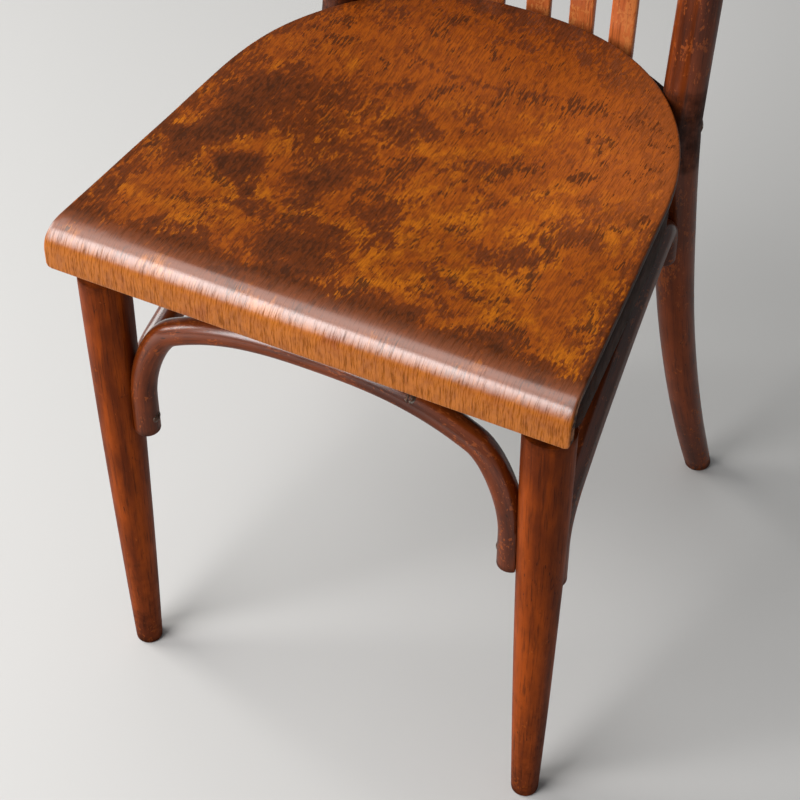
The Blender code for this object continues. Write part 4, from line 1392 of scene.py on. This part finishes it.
@dataclass
class BackHoop:
    """Rear legs, posts and top bow, bent from one rod, with the rail and slats between the posts."""

    shape: SeatShape
    post_standoff: float = 0.02445
    post_y: float = 0.140
    post_lean: float = 0.150
    straight_top: float = 0.690
    top: float = 0.862
    root: tuple[float, float, float] = (0.0020, -0.0075, 0.410)
    knee: tuple[float, float, float] = (0.0075, -0.0095, 0.330)
    foot: tuple[float, float] = (0.0285, 0.0740)
    sweep: float = 1.65
    bow_depth: float = 0.010
    bow_squareness: float = 2.7
    foot_radius: float = 0.0112
    post_radius: float = 0.0158
    bow_radius: float = 0.0130
    wobble: float = 0.004
    ring_inset: float = 0.004
    rail_y: float = 0.1925
    rail_top: float = 0.432
    rail_height: float = 0.028
    rail_thickness: float = 0.014
    rail_edge: float = 0.0018
    slat_count: int = 5
    slat_pitch: float = 0.0365
    slat_width: float = 0.020
    slat_thickness: float = 0.006
    slat_edge: float = 0.0022
    slat_tenon: float = 0.002
    rows: int = 90
    housing_steps: int = 400
    post_x: float = field(init=False)
    path: Array = field(init=False)

    def __post_init__(self) -> None:
        """Works out where the posts stand, and the rod's path."""
        self.post_x = float(self.shape.half_width(np.array(self.post_y))) + self.post_standoff
        self.path = smooth_line(self.stations(), PATH_STEP)

    def stations(self) -> Array:
        """Points that the rod passes through, from the right foot over the bow to the left one.

        The rear leg sweeps back as share^sweep below the knee, and the bow is a superellipse:
        its width goes as cos^(2/p) and its rise as sin^(2/p) of the angle round it.

        Returns:
            The points.
        """
        share = np.linspace(1.0, 0.0, 5)
        leg = joined(self.post_x + self.knee[0] + (self.foot[0] - self.knee[0]) * share,
                     self.post_y + self.knee[1] + (self.foot[1] - self.knee[1]) * share**self.sweep,
                     self.knee[2] * (1.0 - share))
        post = np.array([(self.post_x + self.root[0], self.post_y + self.root[1], self.root[2]),
                         (self.post_x, self.post_y, SEAT_HEIGHT)])
        turn = np.linspace(0.0, math.pi / 2, 6)
        power = 2.0 / self.bow_squareness
        rise, width = np.sin(turn) ** power, np.cos(turn) ** power
        width[-1] = 0.0
        straight_y = self.post_y + self.post_lean * (self.straight_top - SEAT_HEIGHT)
        bow = self.top - self.straight_top
        arch = joined(self.post_x * width, straight_y + (self.post_lean * bow + self.bow_depth) * rise,
                      self.straight_top + bow * rise)
        return mirrored(np.vstack([leg, post, arch]))

    def radius(self, height: Array) -> Array:
        """The rod's radius at a height: straight lines between the foot, the knee, the post and the top."""
        return np.interp(height, [0.0, self.knee[2], self.straight_top, self.top],
                         [self.foot_radius, self.post_radius, self.post_radius, self.bow_radius])

    def axis_at(self, height: Array | float, side: Side) -> Array:
        """Where the rod's middle line is at a height, below the bow.

        Args:
            height: Heights above the floor.
            side: Which of the two posts.

        Returns:
            The middle line's x and y at each height.
        """
        half = self.path[: len(self.path) // 2]
        x, y = (np.interp(height, half[:, 2], half[:, k]) for k in range(2))
        return joined(side.value * x, y)

    def level_feet(self, points: Array) -> Array:
        """Levels the rod's ends on the floor: near it, each section is sheared until it lies flat.

        Args:
            points: The rod's points.

        Returns:
            The points, with those of the feet moved along the leg.
        """
        middle = points.mean(axis=1, keepdims=True)
        lift = (middle[..., 2] - points[..., 2]) * fall(middle[..., 2], 0.0, 0.035)
        tilt = self.foot[1] * self.sweep / self.knee[2]
        moved = points.copy()
        moved[..., 2] += lift
        moved[..., 1] -= lift * tilt
        moved[..., 2] = np.maximum(moved[..., 2], 0.0)
        return moved

    def housed(self, points: Array, inset: float, low: float, high: float) -> Array:
        """Cuts a shallow housing where the posts pass the seat: points inside its outline go out to it.

        Args:
            points: The rod's points.
            inset: How far inside the seat's outline the housing lies.
            low: Where the housing starts.
            high: Where it ends.

        Returns:
            The points.
        """
        outline, out = self.shape.loop(self.shape.shoulder_y, 0.001, self.housing_steps)
        edge = outline - out * inset
        near = (points[..., 2] > low) & (points[..., 2] < high)
        chosen = points[near]
        offset = chosen[:, None, :2] - edge
        nearest = np.linalg.norm(offset, axis=-1).argmin(axis=1)
        inside = -np.einsum("ij,ij->i", chosen[:, :2] - edge[nearest], out[nearest])
        chosen[:, :2] += out[nearest] * np.maximum(inside, 0.0)[:, None]
        moved = points.copy()
        moved[near] = chosen
        return moved

    def build_hoop(self) -> None:
        """Builds the rod."""
        shell = Rod(self.path, self.radius(self.path[:, 2]), BACKWARD, 5.0, 40, wobble=self.wobble).shell()
        points = self.level_feet(shell.points)
        points = self.housed(points, -GAP, RING_TOP, SEAT_HEIGHT + GAP)
        shell.points = self.housed(points, self.ring_inset - GAP, RING_UNDERSIDE - GAP, RING_TOP)
        height = shell.points[..., 2]
        shell.coat = 0.90 - 0.25 * fall(height, 0.0, 0.05)
        # Painted shadow of the seat on the posts, from just under the ring to just above the seat; the feet
        # are darker too.
        seat = ease(height, 0.385, 0.402) * fall(height, 0.456, 0.470)
        shell.grime_and_shade = np.maximum(0.75 * fall(height, 0.0, 0.025), 0.7 * seat)
        piece = make_piece("bent_hoop", [shell])
        place_piece(piece, Slot.HOOP, BENTWOOD, "back_hoop")

    def rail_line_y(self, x: Array) -> Array:
        """The rail's arc: y = rear - (rear - post) * (x / post x)^2."""
        return self.rail_y - (self.rail_y - self.post_y) * (x / self.post_x) ** 2

    def rail_point(self, x: Array, across: Array) -> Array:
        """Places on the rail seen from above: (x, y(x)) + across * n, where n is the arc's unit normal.

        Args:
            x: Where along the rail.
            across: How far behind its middle line.

        Returns:
            The places, two numbers each.
        """
        slope = -2.0 * (self.rail_y - self.post_y) * x / self.post_x**2
        share = across / np.hypot(1.0, slope)
        return joined(x - slope * share, self.rail_line_y(x) + share)

    def rail_reach(self, across: Array, height: Array) -> Array:
        """How far from the middle the rail's edges meet the post, found by halving the distance.

        Args:
            across: How far each edge lies behind the rail's middle line.
            height: Its height.

        Returns:
            The distance of each edge's end.
        """
        axis = self.axis_at(height, Side.RIGHT)
        near, far = np.full_like(across, 0.5 * self.post_x), np.full_like(across, self.post_x)
        for _ in range(24):
            middle = 0.5 * (near + far)
            clear = np.linalg.norm(self.rail_point(middle, across) - axis, axis=-1) > self.post_radius + GAP
            near, far = np.where(clear, middle, near), np.where(clear, far, middle)
        return near

    def build_rail(self) -> None:
        """Builds the rail: a rounded section carried along its arc, each end coped to its post."""
        section = rounded_strip(self.rail_thickness, self.rail_height, self.rail_edge)
        height = self.rail_top - self.rail_height / 2 + section[:, 1]
        x = np.linspace(-1.0, 1.0, self.rows)[:, None] * self.rail_reach(section[:, 0], height)
        flat = self.rail_point(x, section[:, 0])
        points = joined(flat[..., 0], flat[..., 1], height)
        shell = Shell(points, joined(section[:, 0], height, x), 0.85, 0.35)
        piece = make_piece("bent_rail", [shell])
        place_piece(piece, Slot.RING, SHADED_RING_WOOD, "back_rail")

    def build_slats(self) -> None:
        """Builds the slats: a rounded section carried along a straight line from the rail to the bow."""
        section = rounded_strip(self.slat_width, self.slat_thickness, self.slat_edge)
        share = np.linspace(0.0, 1.0, self.rows)[:, None, None]
        high = self.path[self.path[:, 2] > self.straight_top]
        for index in range(self.slat_count):
            x = (index - (self.slat_count - 1) / 2) * self.slat_pitch
            bow = high[np.abs(high[:, 0] - x).argmin()]
            low = np.array([x, self.rail_line_y(np.array(x)), self.rail_top - self.slat_tenon])
            top = np.array([x, bow[1], bow[2] - self.bow_radius + self.slat_tenon])
            points = low + (top - low) * share + joined(section[:, 0], section[:, 1], 0.0)
            height = points[..., 2]
            places = joined(section[:, 0], section[:, 1], height + 0.31 * index)
            # Darker at the foot of each slat, next to the rail.
            shell = Shell(points, places, 0.70, 0.7 * fall(height, self.rail_top, 0.460))
            piece = make_piece(f"flat_slat_{index + 1}", [shell])
            place_piece(piece, Slot.HOOP, LIT_SLAT_WOOD, f"back_slat_{index + 1}")

    def build(self) -> None:
        """Builds the hoop, the rail and the slats."""
        self.build_hoop()
        self.build_rail()
        self.build_slats()


@dataclass
class Braces:
    """Three bent rods between the legs under the seat ring."""

    legs: FrontLegs
    hoop: BackHoop
    radius: float = 0.0099
    housing: float = 0.0045
    arch_foot: float = 0.2567
    arch_bend_width: float = 0.030
    arch_bend_height: float = 0.058
    arch_crown: float = 0.047
    arch_power: float = 2.6
    side_foot: float = 0.2217
    side_bend: float = 0.2867
    side_front_bend: float = 0.030
    side_rear: float = 0.3597
    side_rear_end: float = 0.3217
    side_rear_bend: float = 0.022
    side_bow: float = 0.011
    bend_clear: float = 0.012

    def arch_path(self) -> Array:
        """The front arch: upright ends, elliptic shoulders, and a top that rises as 1 - (x / half)^p.

        Returns:
            The path from the right end to the left one.
        """
        shoulder = RING_UNDERSIDE - GAP - self.radius - self.arch_crown
        start = shoulder - self.arch_bend_height
        half = self.legs.x - float(self.legs.radius(np.array(self.arch_foot))) - self.radius + self.housing
        turn = np.linspace(0.0, math.pi / 2, BEND_STEPS)
        side_x = half - self.arch_bend_width * (1.0 - np.cos(turn))
        top_x = np.linspace(side_x[-1], 0.0, BEND_STEPS)[1:]
        x = np.concatenate([[half], side_x, top_x])
        z = np.concatenate([[self.arch_foot], start + self.arch_bend_height * np.sin(turn),
                            np.full_like(top_x, shoulder)])
        rise = np.clip((z - start) / self.arch_bend_height, 0.0, 1.0)
        z = z + self.arch_crown * (1.0 - (x / half) ** self.arch_power) * rise
        return smooth_line(mirrored(joined(x, self.legs.y, z)), PATH_STEP)

    def side_path(self, side: Side) -> Array:
        """A side brace: up behind the front leg, bent back, a bowed climb, then down at the rear leg.

        The climb is a straight line plus bow * 4 t (1 - t).

        Args:
            side: The brace's side.

        Returns:
            The path from its front end to its rear one.
        """
        reach = self.radius + GAP
        front_y = self.legs.y + float(self.legs.radius(np.array(self.side_bend))) + reach
        rear = self.hoop.axis_at(self.side_rear_end, Side.RIGHT)
        rear_y = rear[1] - self.hoop.post_radius - reach
        share = np.linspace(0.0, 1.0, BEND_STEPS)
        climb = joined(front_y + (rear_y - front_y) * share,
                       self.side_bend + (self.side_rear - self.side_bend) * share
                       + self.side_bow * 4.0 * share * (1.0 - share))
        foot, end = np.array([front_y, self.side_foot]), np.array([rear_y, self.side_rear_end])
        front_bend = rounded_corner(foot, climb[0], climb[2], self.side_front_bend)
        rear_bend = rounded_corner(climb[-3], climb[-1], end, self.side_rear_bend)
        middle = climb[(climb[:, 0] > front_bend[-1, 0] + self.bend_clear)
                       & (climb[:, 0] < rear_bend[0, 0] - self.bend_clear)]
        line = np.vstack([foot, front_bend, middle, rear_bend, end])
        along = (line[:, 0] - front_y) / (rear_y - front_y)
        x = self.legs.x + (rear[0] - self.legs.x) * along
        return smooth_line(joined(side.value * x, line[:, 0], line[:, 1]), PATH_STEP)

    def rod(self, path: Array, fixed: tuple[float, float, float], grain_start: float) -> Shell:
        """One brace as a plain rod of even thickness."""
        return Rod(path, np.full(len(path), self.radius), fixed, grain_start).shell()

    def build_arch(self) -> None:
        """Builds the front arch, coped against both legs."""
        shell = self.rod(self.arch_path(), BACKWARD, 8.0)
        for side in Side:
            shell.points = self.legs.clear_of(shell.points, side)
        height = shell.points[..., 2]
        shell.coat = 0.86
        # Darker at the lower ends; the band along the top, just under the ring, is painted shade.
        shell.grime_and_shade = np.maximum(0.7 * fall(height, self.arch_foot, 0.270), 0.5 * ease(height, 0.395, 0.404))
        place_piece(make_piece("arched_brace", [shell]), Slot.HOOP, BENTWOOD, "front_brace")

    def build_side(self, side: Side) -> None:
        """Builds one side brace, coped against its front leg.

        Args:
            side: The brace's side.
        """
        shell = self.rod(self.side_path(side), ACROSS, 9.5 + side.value)
        shell.points = self.legs.clear_of(shell.points, side)
        shell.coat = 0.88
        # Darker at the front foot.
        shell.grime_and_shade = 0.7 * fall(shell.points[..., 2], self.side_foot, 0.236)
        piece = make_piece(f"side_rod_{side.word}", [shell])
        place_piece(piece, Slot.HOOP, BENTWOOD, f"side_brace_{side.word}")

    def build(self) -> None:
        """Builds the three braces."""
        self.build_arch()
        for side in Side:
            self.build_side(side)


# Fasteners


class ScrewWay(Enum):
    """Which way each kind of screw faces: the direction out of its head."""

    SIDE_FRONT = (0.0, 1.0, 0.0)
    SIDE_REAR = (0.0, -1.0, 0.0)
    TOP = (0.0, 0.30, -0.95)
    REPAIR = (0.0, -0.66, 0.75)


@dataclass
class Fasteners:
    """The screws of the braces, and the bolts and nuts that hold the posts to the ring."""

    head_radius: float = 0.0046
    head_rise: float = 0.0026
    shank_radius: float = 0.0022
    slot_half_width: float = 0.00060
    slot_depth: float = 0.0012
    bolt_radius: float = 0.0030
    bolt_head_radius: float = 0.0080
    bolt_head_rise: float = 0.0040
    nut_radius: float = 0.0062
    nut_chamfer: float = 0.0009

    @staticmethod
    def axis_of(node: str, out: Array) -> tuple[Array, float, float]:
        """Where a fastener's axis runs in the frame.

        Args:
            node: The node that the fastener replaces.
            out: The direction out of its head.

        Returns:
            A point of the axis level with the frame's origin, and how far along the axis the piece
            starts and ends.
        """
        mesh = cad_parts[node].data
        points = np.empty(len(mesh.vertices) * 3)
        mesh.vertices.foreach_get("co", points)
        points = points.reshape(-1, 3)
        run = points @ out
        beside = points - run[:, None] * out
        return (beside.min(axis=0) + beside.max(axis=0)) / 2, float(run.min()), float(run.max())

    @staticmethod
    def turned(shell: Shell, foot: Array, out: Array) -> Shell:
        """Turns a surface about +Z until +Z lies along a direction, and moves it to its foot.

        Args:
            shell: The surface about its own axis.
            foot: Where its origin goes, in the frame.
            out: The direction of its axis.

        Returns:
            The surface in its place, measured from the seat's own middle.
        """
        level = unit(np.cross(UP if abs(out[2]) < 0.9 else ACROSS, out))
        turn = np.stack([level, np.cross(out, level), out])
        points = shell.points @ turn + foot - (0.0, FRAME_SHIFT_Y, 0.0)
        return Shell(points, shell.points)

    def slotted_head(self) -> Shell:
        """A domed head with a straight slot.

        With u across the slot and v along it, x = R u, y = R v sqrt(1 - u^2) and
        z = rise * sqrt((1 - u^2)(1 - v^2)), less the slot's depth where x is inside the slot.
        The slot's walls lean out a little, and it stays inside the dome at its two ends.

        Returns:
            The head about its own axis, its flat side at its foot.
        """
        edge = self.slot_half_width / self.head_radius
        side = edge * 1.12 + (1.0 - edge * 1.12) * np.sin(np.linspace(0.0, math.pi / 2, 9))
        u = np.concatenate([-side[::-1], [-edge, edge], side])[:, None]
        v = np.sin(np.linspace(-math.pi / 2, math.pi / 2, 19))
        y = v * np.sqrt(np.maximum(1.0 - u**2, 0.0))
        dome = self.head_rise * np.sqrt(np.maximum((1.0 - u**2) * (1.0 - v**2), 0.0))
        cut = np.minimum(self.slot_depth * (np.abs(u) <= edge * 1.01), 0.8 * dome)
        top = joined(self.head_radius * u, self.head_radius * y, dome - cut)
        rows = np.concatenate([top, (top * (1.0, 1.0, 0.0))[:, ::-1]], axis=1)
        return Shell(rows, rows)

    @staticmethod
    def spun(radii: Array, heights: Array, sides: int = 32, hexagon: float = 0.0) -> Shell:
        """A turned body: (r cos t, r sin t, h), or a hexagon where that is the narrower.

        Args:
            radii: Radii of its rows.
            heights: Heights of its rows.
            sides: Points on each row.
            hexagon: The hexagon's radius to its corners, or 0 for a round body.

        Returns:
            The body about its own axis.
        """
        turn = np.linspace(0.0, 2 * math.pi, sides, endpoint=False)
        radius = radii[:, None]
        if hexagon:
            flat = hexagon * math.cos(math.pi / 6) / np.cos((turn % (math.pi / 3)) - math.pi / 6)
            radius = np.minimum(radius, flat)
        points = joined(radius * np.cos(turn), radius * np.sin(turn), heights[:, None])
        return Shell(points, points)

    def build_screw(self, node: str, out: tuple[float, float, float]) -> None:
        """Builds one screw: its slotted head and its shank.

        Args:
            node: The node that it replaces.
            out: The direction out of its head.
        """
        way = unit(np.array(out))
        axis, low, high = self.axis_of(node, way)
        seat = axis + way * (high - self.head_rise)
        length = high - low - self.head_rise
        shank = self.spun(np.array([0.0008, 0.0018, self.shank_radius, self.shank_radius]),
                          np.array([-length, -length + 0.003, -length + 0.004, -0.0001]), 16)
        shells = [self.turned(self.slotted_head(), seat, way), self.turned(shank, seat, way)]
        place_piece(make_piece(f"slotted_{node}", shells, sharp_degrees=30.0), Slot.STEEL, STEEL, node)

    def build_bolt(self, side: Side) -> None:
        """Builds one bolt with its round head, and its nut inside the ring.

        The way out of the bolt's head is level, from the nut's middle to the bolt's.

        Args:
            side: The side of the post that it goes through.
        """
        bolt, nut = f"rear_bolt_{side.word}", f"rear_nut_{side.word}"
        low, high = (np.array(corner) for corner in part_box(bolt))
        inner, outer = (np.array(corner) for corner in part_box(nut))
        way = unit(((low + high) / 2 - (inner + outer) / 2) * (1.0, 1.0, 0.0))
        axis, start, end = self.axis_of(bolt, way)
        lean = np.linspace(0.0, math.pi / 2, BEND_STEPS, endpoint=False)
        head = end - self.bolt_head_rise
        radii = np.concatenate([[self.bolt_radius - 0.0004, self.bolt_radius, self.bolt_radius],
                                self.bolt_head_radius * np.cos(lean)])
        heights = np.concatenate([[start, start + 0.0006, head], head + self.bolt_head_rise * np.sin(lean)])
        body = self.turned(self.spun(radii, heights), axis, way)
        place_piece(make_piece(f"round_bolt_{side.word}", [body]), Slot.STEEL, STEEL, bolt)
        axis, start, end = self.axis_of(nut, way)
        radii = np.array([0.86, 1.02, 1.02, 0.86]) * self.nut_radius
        heights = np.array([start, start + self.nut_chamfer, end - self.nut_chamfer, end])
        body = self.turned(self.spun(radii, heights, 48, self.nut_radius), axis, way)
        piece = make_piece(f"hexagon_nut_{side.word}", [body], sharp_degrees=25.0)
        place_piece(piece, Slot.STEEL, STEEL, nut)

    def build(self) -> None:
        """Builds every screw, bolt and nut."""
        for side in Side:
            self.build_screw(f"front_brace_screw_{side.word}", (-float(side.value), 0.0, 0.0))
            self.build_screw(f"side_brace_front_screw_{side.word}", ScrewWay.SIDE_FRONT.value)
            self.build_screw(f"side_brace_rear_screw_{side.word}", ScrewWay.SIDE_REAR.value)
            self.build_bolt(side)
        self.build_screw("front_brace_top_screw", ScrewWay.TOP.value)
        self.build_screw("front_brace_repair_screw", ScrewWay.REPAIR.value)


# Studio


@dataclass(frozen=True)
class Lamp:
    """A soft rectangular lamp that shines at the chair."""

    name: str
    place: tuple[float, float, float]
    width: float
    height: float
    watts: float
    tint: Colour

    def build(self, aim: tuple[float, float, float]) -> None:
        """Builds the lamp.

        Args:
            aim: The place that it shines at.
        """
        light = bpy.data.lights.new(self.name, "AREA")
        light.shape = "RECTANGLE"
        light.size, light.size_y = self.width, self.height
        light.energy = self.watts
        light.color = self.tint
        item = add_object(self.name, light)
        item.location = self.place
        item.rotation_euler = (Vector(self.place) - Vector(aim)).to_track_quat("Z", "Y").to_euler()


@dataclass(frozen=True)
class Studio:
    """A plain pale floor, soft lamps and a dim even sky."""

    reach: float = 14.0
    sky: Colour = (0.96, 0.98, 1.0)
    sky_strength: float = 0.16
    aim: tuple[float, float, float] = (0.0, 0.0, 0.40)
    lamps: tuple[Lamp, ...] = (
        Lamp("window", (-1.05, -1.95, 1.95), 1.5, 2.4, 74.0, (1.0, 0.98, 0.98)),
        Lamp("side_window", (-2.30, -0.35, 1.60), 1.6, 1.8, 50.0, (1.0, 0.98, 0.96)),
        Lamp("overhead", (-0.6, 0.10, 2.7), 1.6, 1.6, 12.0, (1.0, 1.0, 1.0)),
    )

    def build(self) -> None:
        """Builds the floor, the sky and the lamps."""
        mesh = bpy.data.meshes.new("studio_floor")
        corners = [(-1, -1, 0), (1, -1, 0), (1, 1, 0), (-1, 1, 0)]
        mesh.from_pydata(np.array(corners) * self.reach, [], [(0, 1, 2, 3)])
        mesh.materials.append(FLOOR_PAINT.material())
        add_object("studio_floor", mesh)
        world = bpy.data.worlds.new("studio")
        world.use_nodes = True
        background = world.node_tree.nodes["Background"]
        background.inputs["Color"].default_value = (*self.sky, 1.0)
        background.inputs["Strength"].default_value = self.sky_strength
        bpy.context.scene.world = world
        for lamp in self.lamps:
            lamp.build(self.aim)


@dataclass(frozen=True)
class PhotoCamera:
    """The camera where the photograph was taken from: its place, its turn in radians and its lens."""

    place: tuple[float, float, float] = (0.515, -1.10337, 1.434)
    azimuth: float = 0.458
    elevation: float = 0.798
    roll: float = 0.001
    lens: float = 99.0
    sensor: float = 36.0

    def turn(self) -> Matrix:
        """The camera's turn: its right, its up and the way back from what it sees.

        Returns:
            The turn as a matrix of four rows.
        """
        level = np.array([math.cos(self.azimuth), math.sin(self.azimuth), 0.0])
        away = np.array([math.sin(self.azimuth), -math.cos(self.azimuth), 0.0])
        back = math.cos(self.elevation) * away + math.sin(self.elevation) * np.array(UP)
        right = math.cos(self.roll) * level + math.sin(self.roll) * np.cross(back, level)
        return Matrix(np.stack([right, np.cross(back, right), back], axis=1).tolist()).to_4x4()

    def build(self) -> None:
        """Builds the camera and makes it the scene's own."""
        data = bpy.data.cameras.new("photo_camera")
        data.sensor_width, data.lens = self.sensor, self.lens
        data.clip_start, data.clip_end = 0.05, 60.0
        camera = add_object("photo_camera", data)
        camera.matrix_world = Matrix.Translation(self.place) @ self.turn()
        bpy.context.scene.camera = camera
        bpy.context.scene.view_settings.view_transform = "Standard"


def main() -> None:
    """Builds the chair's pieces in order, then the studio and the camera."""
    logging.basicConfig(level=logging.INFO, format="%(name)s: %(message)s")
    shape = SeatShape()
    SeatPanel(shape).build()
    SeatRing(shape).build()
    legs = FrontLegs()
    legs.build()
    hoop = BackHoop(shape)
    hoop.build()
    Braces(legs, hoop).build()
    Fasteners().build()
    Studio().build()
    PhotoCamera().build()


if __name__ == "__main__":
    main()
